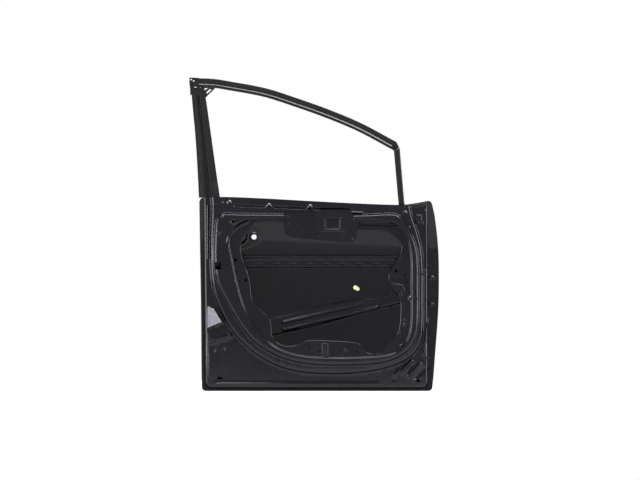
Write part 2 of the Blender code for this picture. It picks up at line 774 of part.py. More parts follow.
def inner_panel():
    """The large pressing: flange, walls, weatherstrip land, two steps, recess and aperture."""
    outline, _ = body_outline(0.0)
    outline = inset(outline, flange_inset)
    wall = divided(rounded_loop(to_lengths(wall_line_shares), wall_radius), line_spacing)
    drop = land_depth - flange_depth(wall)
    foot = inset(wall, -drop * wall_draft_share)
    pressings = panel_lines()
    lines = [wall, foot]
    for contour, _, run in pressings:
        lines += [contour, inset(contour, run)]
    holes = [loop_from(aperture_shares)]
    for spots, radius, sides, stretch in (
        (panel_hole_shares, panel_hole_radius, hole_sides, 1.0),
        (small_hole_shares, small_hole_radius, nut_sides, 1.0),
        (drain_slot_shares, drain_radius, hole_sides, drain_stretch),
    ):
        holes += [circle(centre, radius, sides, stretch) for centre in to_lengths(spots)]
    half = np.array((latch_hole_width, latch_hole_height)) / 2
    holes += [centre + square_corners * half for centre in to_lengths(latch_hole_shares)]
    panel = pressed_sheet("inner_panel", outline, holes, lines, panel_grid,
                          lambda points: panel_depth(points, pressings, wall), panel_thickness)
    cut(panel, wall_cutters())


# Outer panel
def outer_panel():
    """Curved skin with handle scoop and holes; its edge is folded round the inner flange."""
    outline, hemmed = body_outline(skin_top_drop)
    fold = skin_thickness / 2 + hem_gap + panel_thickness / 2
    rim = inset(outline, fold)
    seam = inset(outline, seam_width)
    scoop = circle((scoop_x, handle_height), scoop_height / 2, scoop_sides, scoop_length / scoop_height)
    floor = inset(scoop, scoop_run)
    apron = inset(scoop, -scoop_run)
    holes = [
        circle((handle_front_x, handle_height), handle_hole_radius, round_sides),
        circle((handle_rear_x, handle_height), lock_hole_radius, round_sides),
    ]
    by_height = np.argsort(abs(rim[:, 1] - crease_height))
    ends = rim[sorted(by_height[:2], key=lambda i: rim[i, 0])]
    xs = np.linspace(ends[0, 0], ends[1, 0], math.ceil(body_length / skin_grid))
    crease = [np.vstack((ends[:1], [(x, crease_height) for x in xs[1:-1]], ends[1:]))]

    def depth_at(points):
        return skin_depth(points) + scoop_depth * ramp(distance_inside(scoop, points), scoop_run)

    lines = [seam, scoop, floor, apron]
    points = grid_points(rim, skin_grid, [*holes, *lines], skin_grid * clear_share)
    points = points[abs(points[:, 1] - crease_height) > skin_grid * clear_share]
    bm = sheet_mesh(rim, holes, lines, points, depth_at, crease)
    edge_verts = {}
    for vert in bm.verts:
        gaps = np.hypot(*(rim - (vert.co.x, vert.co.z)).T)
        nearest = int(np.argmin(gaps))
        if gaps[nearest] < match_distance and hemmed[nearest]:
            edge_verts[vert] = nearest
    edges = [
        edge for edge in bm.edges
        if edge.is_boundary and all(vert in edge_verts for vert in edge.verts)
    ]
    base = skin_depth(rim)
    turns = [(math.sin(math.radians(a)), 1 - math.cos(math.radians(a))) for a in hem_angles]
    rows = [(fold * (1 - out), fold * down) for out, down in turns]
    rows += [(fold, 2 * fold), (fold + hem_width, 2 * fold)]
    for inward, deeper in rows:
        ring = inset(outline, inward)
        out = bmesh.ops.extrude_edge_only(bm, edges=edges)["geom"]
        new_edges = [item for item in out if isinstance(item, bmesh.types.BMEdge)]
        new_verts = [item for item in out if isinstance(item, bmesh.types.BMVert)]
        placed = {}
        for vert in new_verts:
            old = min(edge_verts, key=lambda other: (other.co - vert.co).length_squared)
            placed[vert] = edge_verts[old]
        for vert, index in placed.items():
            x, z = ring[index]
            extra = skin_depth(ring[index])[0] - base[index] if inward > fold else 0.0
            vert.co = (x, -(base[index] + extra + deeper), z)
        edges = [edge for edge in new_edges if all(vert in placed for vert in edge.verts)]
        edge_verts = placed
    add_sheet("outer_panel", bm, skin_thickness)


# Window frame
def frame_line(shares, spacing=header_spacing):
    """Smooth open line in the door's plane."""
    dense = smooth_line(to_lengths(shares), False)
    return dense[thinned(dense, False, spacing)]


def header_rail():
    """Roll-formed rail over the window, open below for the glass run."""
    low = frame_line(header_lower_shares)
    along = np.gradient(low, axis=0)
    normal = np.column_stack((-along[:, 1], along[:, 0])) / np.linalg.norm(along, axis=1)[:, None]
    high = low + normal * header_width
    tip = to_lengths(header_tip_shares)
    frame_member("header_rail", np.vstack((low, tip[:1])), np.vstack((high, tip[1:])),
                 header_section_shares)


def side_member(name, rear_shares, front_shares, section_shares, count):
    """Upright frame strip between a rear and a front edge."""
    rear = smooth_line(to_lengths(rear_shares), False)
    front = smooth_line(to_lengths(front_shares), False)
    picks = np.linspace(0, len(rear) - 1, count).round().astype(int)
    frame_member(name, rear[picks], front[picks], section_shares)


def glass_channel():
    """Rear glass run channel: nested in the pillar's mouth and running down inside the body."""
    front = smooth_line(to_lengths(channel_front_shares), False)
    picks = np.linspace(0, len(front) - 1, channel_stations).round().astype(int)
    front = front[picks]
    rear = front - (channel_leg, 0.0)
    frame_member("rear_glass_channel", rear, front, channel_section_shares, channel_thickness,
                 frame_outer_face - nest, frame_inner_face - nest)


def leaning_sheet(name, outline, holes, offset, thickness):
    """Flat-pressed plate that leans with the glass, offset toward the cabin."""
    pressed_sheet(name, outline, holes, [], plate_grid,
                  lambda points: glass_depth(points[:, 1]) + offset, thickness)


def frame_plates():
    """Corner gusset and tab of the frame, and the foot that joins the pillar to the body."""
    header_face = frame_inner_face * header_face_share + frame_thickness / 2
    offset = header_face + weld_gap + bracket_thickness / 2
    holes = [to_lengths(hole) for hole in gusset_hole_shares]
    leaning_sheet("corner_gusset", to_lengths(gusset_shares), holes, offset, bracket_thickness)
    holes = [circle(to_lengths([spot])[0], tab_hole_radius, hole_sides) for spot in tab_hole_shares]
    leaning_sheet("frame_corner_tab", to_lengths(tab_shares), holes, offset, bracket_thickness)
    on_panel = shelf_depth + panel_thickness / 2 + weld_gap + bracket_thickness / 2
    on_pillar = frame_inner_face + frame_thickness / 2 + weld_gap + bracket_thickness / 2
    foot = divided(to_lengths(foot_shares), foot_spacing)
    pressed_sheet("pillar_foot", foot, [], [], plate_grid,
                  lambda points: np.maximum(on_panel, glass_depth(points[:, 1]) + on_pillar),
                  bracket_thickness)


# Stampings behind the inner panel
def beam_depth(points, crown, beads):
    """Depth of the impact beam: standoff from the skin, hat crown and two beads."""
    depth = skin_depth(points) + skin_thickness / 2 + beam_standoff
    depth = depth + beam_rise * ramp(distance_inside(crown, points), beam_rise * beam_wall_share)
    for bead in beads:
        depth = depth + bead_rise * ramp(distance_inside(bead, points), bead_radius / 2)
    return depth


def impact_beam():
    """Side impact beam with its end plates and the mastic pads between it and the skin."""
    bottom = smooth_line(to_lengths(beam_bottom_shares), False)
    top = smooth_line(to_lengths(beam_top_shares), False)
    bottom = bottom[thinned(bottom, False, beam_grid)]
    top = top[thinned(top, False, beam_grid)]
    outline = np.vstack((bottom, top))
    rail = np.vstack((bottom + (0.0, beam_flange), top - (0.0, beam_flange)))
    turn = len(bottom)
    crown = rail.copy()
    crown[[0, -1], 0] -= beam_flange
    crown[turn - 1:turn + 1, 0] += beam_flange
    beads = [slot(*to_lengths(ends), bead_radius) for ends in beam_bead_shares]

    def depth_at(points):
        return beam_depth(points, crown, beads)

    lines = [crown, inset(crown, beam_rise * beam_wall_share)]
    for bead in beads:
        lines += [bead, inset(bead, bead_radius / 2)]
    pressed_sheet("side_impact_beam", outline, [], lines, beam_grid, depth_at, beam_thickness)

    def crown_depth(x, z):
        return skin_depth((x, z))[0] + skin_thickness / 2 + beam_standoff + beam_rise

    seat = beam_thickness / 2 + weld_gap + bracket_thickness / 2
    for side, ends in (("rear", (outline[0], outline[-1])), ("front", (bottom[-1], top[0]))):
        height = (ends[0][1] + ends[1][1]) / 2
        sign = 1 if side == "rear" else -1
        inner = -(panel_thickness + bracket_thickness) / 2 - weld_gap
        deep = wall_middle_depth(side, height)
        stations = []
        for z in (height - end_plate_height / 2, height, height + end_plate_height / 2):
            near = wall_place(side, z, deep, inner)[0].x
            far = wall_place(side, z, deep + end_plate_tail, inner)[0].x
            midline = [(far, deep + end_plate_tail), (near, deep),
                       (near + sign * end_plate_tail / 2, deep)]
            for reach in (end_plate_tail, end_plate_reach):
                x = ends[0][0] + sign * reach
                midline.append((x, crown_depth(x, z) + seat))
            stations.append((z, midline))
        folded_strip("beam_end_plate_" + side, stations, bracket_thickness)
    for i, centre in enumerate(to_lengths(mastic_shares)):
        ring = circle(centre, mastic_radius, round_sides)
        near = skin_depth(ring) + skin_thickness / 2 + mastic_gap
        far = skin_depth(ring) + skin_thickness / 2 + beam_standoff + beam_rise
        far = far - beam_thickness / 2 - 2 * weld_gap
        rings = [[(x, -depth, z) for (x, z), depth in zip(ring, depths)] for depths in (near, far)]
        mastic = finish("mastic", (0.03, 0.03, 0.032), 0.8)
        add_solid("beam_mastic_pad_%d" % (i + 1), loft(rings), mastic)


def add_solid(name, bm, material):
    """Closed solid from a finished bmesh."""
    mesh = bpy.data.meshes.new(name)
    bm.to_mesh(mesh)
    bm.free()
    return add_object(name, mesh, material)


def folded_strip(name, stations, thickness):
    """Strip folded in plan: at each height its midline is a row of (x, depth) points."""
    rings = []
    for z, midline in stations:
        rings.append([(x, -depth, z) for x, depth in strip_section(midline, thickness)])
    return add_solid(name, loft(rings), coat(name))


def skin_side(thickness):
    """Distance from the skin's middle to the middle of a stamping welded inside it."""
    return skin_thickness / 2 + stamping_gap + thickness / 2


def belt_stampings():
    """Skin stiffener with its slots, belt rails and the reinforcement round the outer handle."""
    web = to_lengths(stiffener_web_shares)
    ridge = slot(*to_lengths(stiffener_ridge_shares), ridge_radius)
    outline = divided(to_lengths(stiffener_shares), skin_grid)
    web = divided(web, skin_grid)
    ridge = divided(ridge, skin_grid)
    slots = []
    for x in stiffener_slot_shares:
        centre = to_lengths([(x, stiffener_slot_height_share)])[0]
        half = np.array((stiffener_slot_length / 2 - stiffener_slot_radius, 0.0))
        slots.append(slot(centre - half, centre + half, stiffener_slot_radius, 2))

    def stiffener_depth(points):
        depth = skin_depth(points) + skin_side(rail_thickness)
        depth = depth + stiffener_rise * ramp(distance_inside(web, points), stiffener_rise)
        return depth + ridge_rise * ramp(distance_inside(ridge, points), ridge_radius / 2)

    lines = [web, inset(web, stiffener_rise), ridge, inset(ridge, ridge_radius / 2)]
    pressed_sheet("skin_stiffener", outline, slots, lines, skin_grid, stiffener_depth, rail_thickness)

    outer = divided(to_lengths(outer_rail_shares), skin_grid)
    fold = inset(outer, rail_fold)

    def outer_rail_depth(points):
        lift = ramp(distance_inside(fold, points), rail_rise / 2)
        return skin_depth(points) + skin_side(rail_thickness) + rail_rise * lift

    pressed_sheet("outer_belt_rail", outer, [], [fold, inset(fold, rail_rise / 2)], skin_grid,
                  outer_rail_depth, rail_thickness)

    inner = divided(to_lengths(inner_rail_shares), skin_grid)
    base = shelf_depth - panel_thickness / 2 - weld_gap - rail_thickness / 2
    fold_height = inner_rail_fold_shares[0][1] * body_height

    def inner_rail_depth(points):
        return base - rail_rise * ramp(points[:, 1] - fold_height, rail_rise / 2)

    fold = to_lengths(inner_rail_fold_shares)
    folds = [fold, fold + (0.0, rail_rise / 2)]
    bm = sheet_mesh(inner, [], [], [], inner_rail_depth, folds)
    add_sheet("inner_belt_rail", bm, rail_thickness)

    plate = divided(loop_from(handle_plate_shares), skin_grid)
    scoop = circle((scoop_x, handle_height), scoop_height / 2, scoop_sides, scoop_length / scoop_height)
    openings = [
        inset(scoop, -scoop_clearance),
        circle((handle_front_x, handle_height), handle_hole_radius + hole_margin, round_sides),
        circle((handle_rear_x, handle_height), lock_hole_radius + hole_margin, round_sides),
    ]
    crease = [np.array([(plate[:, 0].min(), crease_height), (plate[:, 0].max(), crease_height)])]
    pressed_sheet("outer_handle_reinforcement", plate, openings, [], skin_grid,
                  lambda points: skin_depth(points) + skin_side(bracket_thickness), bracket_thickness,
                  crease)


def line_x(shares, height):
    """Place along x of a rising line at one height."""
    along, up = to_lengths(shares).T
    return np.interp(height, up, along)


def panel_brackets():
    """Bracket plate hung at the belt, mirror plate and the glass channels' foot brackets."""
    plate = rounded_loop(to_lengths(plate_shares), hole_margin, 1)
    emboss = rounded_loop(to_lengths(emboss_shares), emboss_radius)
    base = face_depth + panel_thickness / 2 + 2 * weld_gap + bracket_thickness / 2
    pressed_sheet("belt_bracket_plate", plate, [], [emboss, inset(emboss, dent_run)], plate_grid,
                  lambda points: base - plate_emboss * ramp(distance_inside(emboss, points), dent_run),
                  bracket_thickness)
    behind = land_depth - panel_thickness / 2 - weld_gap - bracket_thickness / 2
    pressed_sheet("mirror_plate", to_lengths(mirror_plate_shares), [], [], plate_grid,
                  lambda points: np.full(len(points), behind), bracket_thickness)
    seat = weld_gap + bracket_thickness / 2
    low = channel_foot_height + weld_gap
    middle = low + channel_bracket_height / 2
    rear_leg = glass_depth(middle) + frame_inner_face - nest + channel_thickness / 2 + bracket_seat
    x = line_x(channel_front_shares, middle)
    level = face_depth - panel_thickness / 2 - seat
    midline = [
        (x - channel_bracket_flange, rear_leg), (x + hole_margin, rear_leg), (x + hole_margin, level),
        (x + hole_margin + channel_bracket_flange, level),
    ]
    high = low + channel_bracket_height
    folded_strip("rear_channel_bracket", [(low, midline), (high, midline)], bracket_thickness)
    sash_face = frame_inner_face * sash_face_share + frame_thickness / 2
    front_leg = glass_depth(middle) + sash_face + bracket_seat
    x = line_x(sash_rear_shares[:2], middle)
    level = recess_depth - panel_thickness / 2 - seat
    midline = [
        (x + channel_bracket_flange, front_leg), (x - hole_margin, front_leg), (x - hole_margin, level),
        (x - hole_margin - channel_bracket_flange, level),
    ]
    folded_strip("front_channel_bracket", [(low, midline), (high, midline)], bracket_thickness)


def wall_hardware():
    """Reinforcement plates inside the front and rear walls, each with its weld nuts."""
    rows = [
        ("upper_hinge", "front", upper_hinge_height, hinge_bolt_pitch, 0.0, hinge_plate_height),
        ("lower_hinge", "front", lower_hinge_height, hinge_bolt_pitch, 0.0, hinge_plate_height),
        ("check_strap", "front", check_height, check_bolt_pitch, check_opening, check_plate_height),
        ("latch", "rear", latch_height, latch_bolt_pitch, latch_opening, hinge_plate_height),
    ]
    steel = finish("weld_nut_steel", (0.05, 0.05, 0.055), 0.45, nut_metallic)
    for name, side, height, pitch, opening, length in rows:
        depth = wall_middle_depth(side, height)
        inner = -(panel_thickness + hinge_plate_thickness) / 2 - weld_gap
        place, outward, along = wall_place(side, height, depth, inner)
        half = np.array((hinge_plate_width, length)) / 2
        outline = rounded_loop(square_corners * half, dent_run, 2)
        holes = [circle((0.0, sign * pitch / 2), hinge_bolt_radius, hole_sides) for sign in (-1, 1)]
        if opening:
            holes.append(circle((0.0, 0.0), opening / 2, round_sides))
        flat_plate(name + "_plate", outline, holes, hinge_plate_thickness, place,
                   wall_turn(outward, along), coat(name + "_plate"))
        behind = inner - (hinge_plate_thickness + nut_height) / 2 - weld_gap
        centre, _, _ = wall_place(side, height, depth, behind)
        for label, sign in (("low", -1), ("high", 1)):
            flat_plate("%s_nut_%s" % (name, label), circle((0.0, 0.0), nut_width / 2, nut_sides),
                       [circle((0.0, 0.0), nut_hole_radius, nut_sides)], nut_height,
                       centre + along * (sign * pitch / 2), wall_turn(outward, along), steel)


def main():
    """Build every piece."""
    outer_panel()
    inner_panel()
    header_rail()
    glass_channel()
    frame_plates()
    impact_beam()
    belt_stampings()
    panel_brackets()
    wall_hardware()
    side_member("b_pillar_sash", pillar_rear_shares, pillar_front_shares, pillar_section_shares,
                pillar_stations)
    side_member("front_sash", sash_rear_shares, sash_front_shares, sash_section_shares,
                sash_stations)


for old in list(bpy.data.objects):
    bpy.data.objects.remove(old)
parts = bpy.data.collections.new("car_door_shell")
bpy.context.scene.collection.children.link(parts)
cutters = bpy.data.collections.new("cutters")
bpy.context.scene.collection.children.link(cutters)
door = bpy.data.objects.new("door_origin", None)
parts.objects.link(door)
main()
hinge_face, _, _ = wall_place(
    "front", upper_hinge_height, wall_middle_depth("front", upper_hinge_height), panel_thickness / 2)
door.location = -hinge_face
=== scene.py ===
import math

import bmesh
import bpy
import numpy as np
from mathutils import Matrix, Vector
from mathutils.geometry import delaunay_2d_cdt
from mathutils.kdtree import KDTree


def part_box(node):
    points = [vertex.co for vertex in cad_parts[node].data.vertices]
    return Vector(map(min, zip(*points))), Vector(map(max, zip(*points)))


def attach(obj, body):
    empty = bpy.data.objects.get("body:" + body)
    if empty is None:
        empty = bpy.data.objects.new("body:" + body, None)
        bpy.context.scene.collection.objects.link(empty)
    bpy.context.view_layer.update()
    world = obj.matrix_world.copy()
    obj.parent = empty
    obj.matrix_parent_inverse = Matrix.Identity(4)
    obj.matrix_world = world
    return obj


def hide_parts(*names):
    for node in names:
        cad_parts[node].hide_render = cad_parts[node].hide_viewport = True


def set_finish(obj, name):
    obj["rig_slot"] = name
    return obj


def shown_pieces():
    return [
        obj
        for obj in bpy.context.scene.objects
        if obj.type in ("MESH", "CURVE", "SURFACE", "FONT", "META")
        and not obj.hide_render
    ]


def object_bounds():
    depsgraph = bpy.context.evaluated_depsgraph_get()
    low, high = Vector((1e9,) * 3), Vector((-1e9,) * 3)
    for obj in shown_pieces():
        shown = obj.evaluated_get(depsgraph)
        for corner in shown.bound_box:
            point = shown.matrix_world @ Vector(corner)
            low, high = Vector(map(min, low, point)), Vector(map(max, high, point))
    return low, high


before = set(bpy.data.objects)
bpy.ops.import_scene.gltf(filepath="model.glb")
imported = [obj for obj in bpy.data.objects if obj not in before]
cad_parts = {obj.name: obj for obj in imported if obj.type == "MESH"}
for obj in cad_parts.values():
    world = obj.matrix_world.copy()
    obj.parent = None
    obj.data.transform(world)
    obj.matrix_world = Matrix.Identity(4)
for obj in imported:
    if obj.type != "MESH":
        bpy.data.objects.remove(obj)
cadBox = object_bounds()

# Outlines are shares of the body's length and height, from its rear lower corner.
# Other lengths are metres from there, and depth grows toward the cabin.
body = {
    "length": 0.948,
    "height": 0.780,
    "origin": (0.902448, -0.049774, 0.560),
    "cornerRadius": 0.014,
    "bottom": [(0.0, 0.0), (0.5, 0.0), (0.972, 0.0)],
    "front": [
        (0.972, 0.0), (0.984, 0.190), (0.997, 0.405), (1.0, 0.567), (0.997, 0.728),
        (0.982, 0.895), (0.966, 0.981),
    ],
    "top": [
        (0.966, 0.981), (0.920, 0.970), (0.869, 0.961), (0.829, 0.957), (0.646, 0.965),
        (0.456, 0.977), (0.245, 0.991), (0.078, 0.998), (-0.011, 0.992),
    ],
    "rear": [(-0.011, 0.992), (-0.009, 0.774), (-0.005, 0.467), (-0.002, 0.108), (0.0, 0.0)],
    "cornerShares": (0.15, 0.3, 0.45, 0.6, 0.75, 0.88),
}
# How finely curves are cut, and the tolerances of a sheet's mesh
meshing = {
    "curveSteps": 24,
    "blockSize": 1500,
    "rowShare": 0.87,
    "clearShare": 0.4,
    "mergeDistance": 0.00005,
    "sliverHeight": 0.00003,
    "holeMargin": 0.001,
    "slopeStep": 0.0002,
    "sameSide": 0.6,
    "boreLength": 0.05,
    "boreSides": 24,
    "sharpAngle": 35,
}


def toLengths(shares):
    return np.array(shares, float) * (body["length"], body["height"])


# Curve through the points, with tangents that follow their spacing
def smoothLine(points, closed):
    points = np.asarray(points, float)
    ahead = np.roll(points, -1, axis=0)
    behind = np.roll(points, 1, axis=0)
    if not closed:
        ahead[-1] = points[-1]
        behind[0] = points[0]
    reach = np.linalg.norm(ahead - points, axis=1) + np.linalg.norm(points - behind, axis=1)
    tangents = (ahead - behind) / reach[:, None]
    steps = meshing["curveSteps"]
    t = (np.arange(steps) / steps)[:, None]
    runs = []
    for i in range(len(points) if closed else len(points) - 1):
        j = (i + 1) % len(points)
        length = np.linalg.norm(points[j] - points[i])
        runs.append(
            (2 * t**3 - 3 * t**2 + 1) * points[i]
            + (t**3 - 2 * t**2 + t) * length * tangents[i]
            + (3 * t**2 - 2 * t**3) * points[j]
            + (t**3 - t**2) * length * tangents[j]
        )
    if not closed:
        runs.append(points[-1:])
    return np.vstack(runs)


def lengthsAlong(line):
    return np.concatenate(([0.0], np.cumsum(np.linalg.norm(np.diff(line, axis=0), axis=1))))


def spotsAlong(line, lengths, count):
    at = np.linspace(0, lengths[-1], count)
    return np.column_stack([np.interp(at, lengths, line[:, axis]) for axis in range(2)])


def evenLine(line, spacing, closed):
    line = np.asarray(line, float)
    if closed:
        line = np.vstack((line, line[:1]))
    lengths = lengthsAlong(line)
    count = max(3 if closed else 1, int(round(lengths[-1] / spacing)))
    spots = spotsAlong(line, lengths, count + 1)
    return spots[:-1] if closed else spots


def alongLine(shares, count):
    dense = smoothLine(toLengths(shares), False)
    return spotsAlong(dense, lengthsAlong(dense), count)


def smoothRun(shares, spacing):
    return evenLine(smoothLine(toLengths(shares), False), spacing, False)


def smoothLoop(shares, spacing):
    return counterclockwise(evenLine(smoothLine(toLengths(shares), True), spacing, True))


def toward(here, there, reach):
    move = there - here
    return here + move / np.linalg.norm(move) * reach


# Curve from start to end that leans on the corner
def cornerCurve(start, corner, end, shares):
    return [(1 - t) ** 2 * start + 2 * t * (1 - t) * corner + t**2 * end for t in shares]


def roundedLoop(points, radius, segments=5):
    points = np.asarray(points, float)
    shares = [i / segments for i in range(segments + 1)]
    loop = []
    around = zip(np.roll(points, 1, axis=0), points, np.roll(points, -1, axis=0))
    for before, here, after in around:
        ends = [toward(here, there, radius) for there in (before, after)]
        loop.extend(cornerCurve(ends[0], here, ends[1], shares))
    return np.array(loop)


# Open path with round bends, which keep off each other on short sides
def roundedPath(points, radius, segments=4, room=0.42):
    points = np.asarray(points, float)
    shares = [i / segments for i in range(segments + 1)]
    path = [points[0]]
    for before, here, after in zip(points, points[1:], points[2:]):
        sides = [room * np.linalg.norm(there - here) for there in (before, after)]
        ends = [toward(here, there, min(radius, *sides)) for there in (before, after)]
        path.extend(cornerCurve(ends[0], here, ends[1], shares))
    path.append(points[-1])
    return np.array(path)


def divided(loop, spacing):
    result = []
    for a, b in zip(loop, np.roll(loop, -1, axis=0)):
        count = max(1, math.ceil(np.linalg.norm(b - a) / spacing))
        result.extend(a + (b - a) * i / count for i in range(count))
    return np.array(result)


def roundedOutline(shares, radius, spacing, segments=5):
    loop = roundedLoop(toLengths(shares), radius, segments)
    return counterclockwise(divided(loop, spacing))


def circle(centre, radius, count=24, stretch=1.0):
    angles = np.arange(count) / count * 2 * math.pi
    ring = np.column_stack((np.cos(angles) * stretch, np.sin(angles))) * radius
    return ring + np.asarray(centre, float)


def slot(start, end, radius, count=10):
    start = np.asarray(start, float)
    end = np.asarray(end, float)
    heading = math.atan2(*(end - start)[::-1])
    turns = (np.arange(count + 1) / count - 0.5) * math.pi
    cap = np.column_stack((np.cos(turns + heading), np.sin(turns + heading))) * radius
    return np.vstack((end + cap, start - cap))


def leftOf(moves):
    return np.column_stack((-moves[:, 1], moves[:, 0])) / np.linalg.norm(moves, axis=1)[:, None]


# Loop moved inward by a distance, or by one for each point
def inset(loop, distance):
    normal = leftOf(np.roll(loop, -1, axis=0) - loop) + leftOf(loop - np.roll(loop, 1, axis=0))
    normal *= 2 / (normal**2).sum(axis=1)[:, None]
    return loop + normal * np.reshape(distance, (-1, 1))


def insets(loop, reaches):
    return [inset(loop, reach) for reach in reaches]


def runLines(loop, run, shares=(0.0, 0.2, 0.4, 0.6, 0.8, 1.0)):
    return insets(loop, [run * share for share in shares])


def counterclockwise(loop):
    after = np.roll(loop, -1, axis=0)
    area = (loop[:, 0] * after[:, 1] - after[:, 0] * loop[:, 1]).sum()
    return loop if area > 0 else loop[::-1]


# Distance to the loop, below zero outside it; beyond the limit only the sign counts
def distanceInside(loop, points, limit=None):
    points = np.atleast_2d(points)
    result = np.full(len(points), -1.0 if limit is None else -limit)
    wanted = np.ones(len(points), bool)
    if limit is not None:
        low, high = loop.min(axis=0) - limit, loop.max(axis=0) + limit
        wanted = ((points > low) & (points < high)).all(axis=1)
    side = np.roll(loop, -1, axis=0) - loop
    square = (side**2).sum(axis=1)
    top = np.roll(loop[:, 1], -1)
    rise = np.where(side[:, 1] == 0.0, 1.0, side[:, 1])
    indices = np.flatnonzero(wanted)
    for first in range(0, len(indices), meshing["blockSize"]):
        block = indices[first:first + meshing["blockSize"]]
        here = points[block]
        toPoint = here[:, None] - loop[None]
        share = np.clip((toPoint * side).sum(axis=2) / square, 0.0, 1.0)
        gap = np.linalg.norm(toPoint - share[:, :, None] * side, axis=2).min(axis=1)
        crossing = loop[:, 0] + side[:, 0] * toPoint[:, :, 1] / rise
        turned = (loop[:, 1] > here[:, 1:2]) != (top > here[:, 1:2])
        odd = (turned & (here[:, 0:1] < crossing)).sum(axis=1) % 2 == 1
        result[block] = np.where(odd, gap, -gap)
    return result


def ramp(distance, run):
    t = np.clip(distance / run, 0.0, 1.0)
    return t * t * (3 - 2 * t)


# Share of a rise: none outside the loop, all of it from one run inside
def lift(loop, spots, run, reach=None):
    return ramp(distanceInside(loop, spots, reach), run)


# Round bosses: place, radius and rise, with walls of a share of their radius
def withBosses(depth, spots, bosses, run, toward=1):
    for x, z, radius, rise in bosses:
        away = np.hypot(spots[:, 0] - x, spots[:, 1] - z)
        depth = depth + toward * rise * ramp(radius - away, radius * run)
    return depth


def bossRings(bosses, shares, count):
    return [circle((x, z), radius * share, count)
            for x, z, radius, _ in bosses for share in shares]


# World place of a spot on the body
def placed(x, depth, z):
    return (x - body["origin"][0], -depth - body["origin"][1], z - body["origin"][2])


skin = {
    "thickness": 0.0008,
    "bellyHeight": 0.360,
    "barrelRadius": 2.10,
    "creaseHeight": 0.606,
    "creaseFall": 0.045,
    "creaseSlope": 0.054,
    "creaseBlend": 0.006,
    "planCentre": 0.450,
    "planRadius": 8.0,
    "topDrop": 0.006,
    "hemGap": 0.0004,
    "hemWidth": 0.0095,
    "hemTurns": 8,
    "grid": 0.016,
    "edgeSpacing": 0.012,
    "scoopCentre": (0.134, 0.616),
    "scoopRadii": (0.052, 0.038),
    "scoopDepth": 0.016,
    "scoopRun": 0.018,
    "frontHole": (0.208, 0.616, 0.010),
    "rearHole": (0.054, 0.616, 0.013),
    "scoopPoints": 56,
    "scoopShares": (0.12, 0.3, 0.5, 0.7, 0.88, 1.0),
    "holePoints": 32,
    "rimLine": 0.012,
    "clearance": 0.005,
    "rowClearance": 0.002,
    "creaseMargin": 1.4,
}


def creaseLine(x):
    return skin["creaseHeight"] - skin["creaseFall"] * (x - skin["frontHole"][0])


def skinDepth(points):
    x, z = np.atleast_2d(points).T
    barrel = (z - skin["bellyHeight"]) ** 2 / (2 * skin["barrelRadius"])
    plan = (x - skin["planCentre"]) ** 2 / (2 * skin["planRadius"])
    above = z - creaseLine(x)
    blend = skin["creaseBlend"]
    curve = np.where(above > -blend, (above + blend) ** 2 / (4 * blend), 0.0)
    return barrel + plan + np.where(above > blend, above, curve) * skin["creaseSlope"]


# Middle of a stiffening sheet that lies on the skin's cabin side
def liningDepth(points, piece):
    return skinDepth(points) + (skin["thickness"] / 2 + stiffener["gap"] + piece["thickness"] / 2)


# The body's outline, and which of its points carry the hem: all but the belt's
def bodyOutline(topDrop, spacing):
    lowered = [(x, z - topDrop / body["height"]) for x, z in body["top"]]
    sides = [body["bottom"], body["front"], lowered, body["rear"]]
    runs = []
    for side in sides:
        dense = smoothLine(toLengths(side), False)
        away = [np.linalg.norm(dense - end, axis=1) for end in (dense[0], dense[-1])]
        clear = np.minimum(*away) >= body["cornerRadius"]
        runs.append(evenLine(dense[clear], spacing, False))
    loop = []
    hemmed = []
    for i, run in enumerate(runs):
        corner = toLengths([sides[i][-1]])[0]
        after = runs[(i + 1) % len(runs)][0]
        loop.extend(run)
        hemmed.extend([i != 2] * len(run))
        loop.extend(cornerCurve(run[-1], corner, after, body["cornerShares"]))
        hemmed.extend([i in (0, 3)] * len(body["cornerShares"]))
    return np.array(loop), np.array(hemmed)


# Staggered points inside an outline that keep clear of the lines
def gridPoints(outline, spacing, lines, clearance):
    low = outline.min(axis=0)
    high = outline.max(axis=0)
    xs = np.arange(low[0] + spacing / 2, high[0], spacing)
    zs = np.arange(low[1] + spacing / 2, high[1], spacing * meshing["rowShare"])
    points = np.array([(x + (i % 2) * spacing / 2, z) for i, z in enumerate(zs) for x in xs])
    points = points[distanceInside(outline, points) > clearance]
    for line in lines:
        near = distanceInside(line, points, clearance * 2)
        points = points[abs(near) > clearance]
    return points


# Flat triangles between the loops, lifted to the depth of the form
def sheetMesh(outline, openings, lines, points, depthAt):
    spots = []
    edges = []
    for loop in [outline, *openings, *lines]:
        first = len(spots)
        spots.extend(loop)
        edges.extend((first + i, first + (i + 1) % len(loop)) for i in range(len(loop)))
    spots.extend(points)
    spots = [Vector(spot) for spot in spots]
    found, _, faces, *_ = delaunay_2d_cdt(spots, edges, [], 0, meshing["mergeDistance"])
    found = np.array([tuple(spot) for spot in found])
    corners = np.array([face[:3] for face in faces])
    centres = found[corners].mean(axis=1)
    across = found[corners]
    sides = np.linalg.norm(across - np.roll(across, 1, axis=1), axis=2).max(axis=1)
    first = across[:, 1] - across[:, 0]
    second = across[:, 2] - across[:, 0]
    area = abs(first[:, 0] * second[:, 1] - first[:, 1] * second[:, 0])
    kept = (distanceInside(outline, centres) > 0) & (area / sides > meshing["sliverHeight"])
    for hole in openings:
        kept &= distanceInside(hole, centres, meshing["holeMargin"]) < 0
    depths = depthAt(found)
    used = np.zeros(len(found), bool)
    used[corners[kept].ravel()] = True
    number = np.cumsum(used) - 1
    bm = bmesh.new()
    verts = [bm.verts.new(placed(x, depth, z))
             for (x, z), depth, keep in zip(found, depths, used) if keep]
    for face in number[corners[kept]]:
        bm.faces.new([verts[i] for i in face])
    return bm


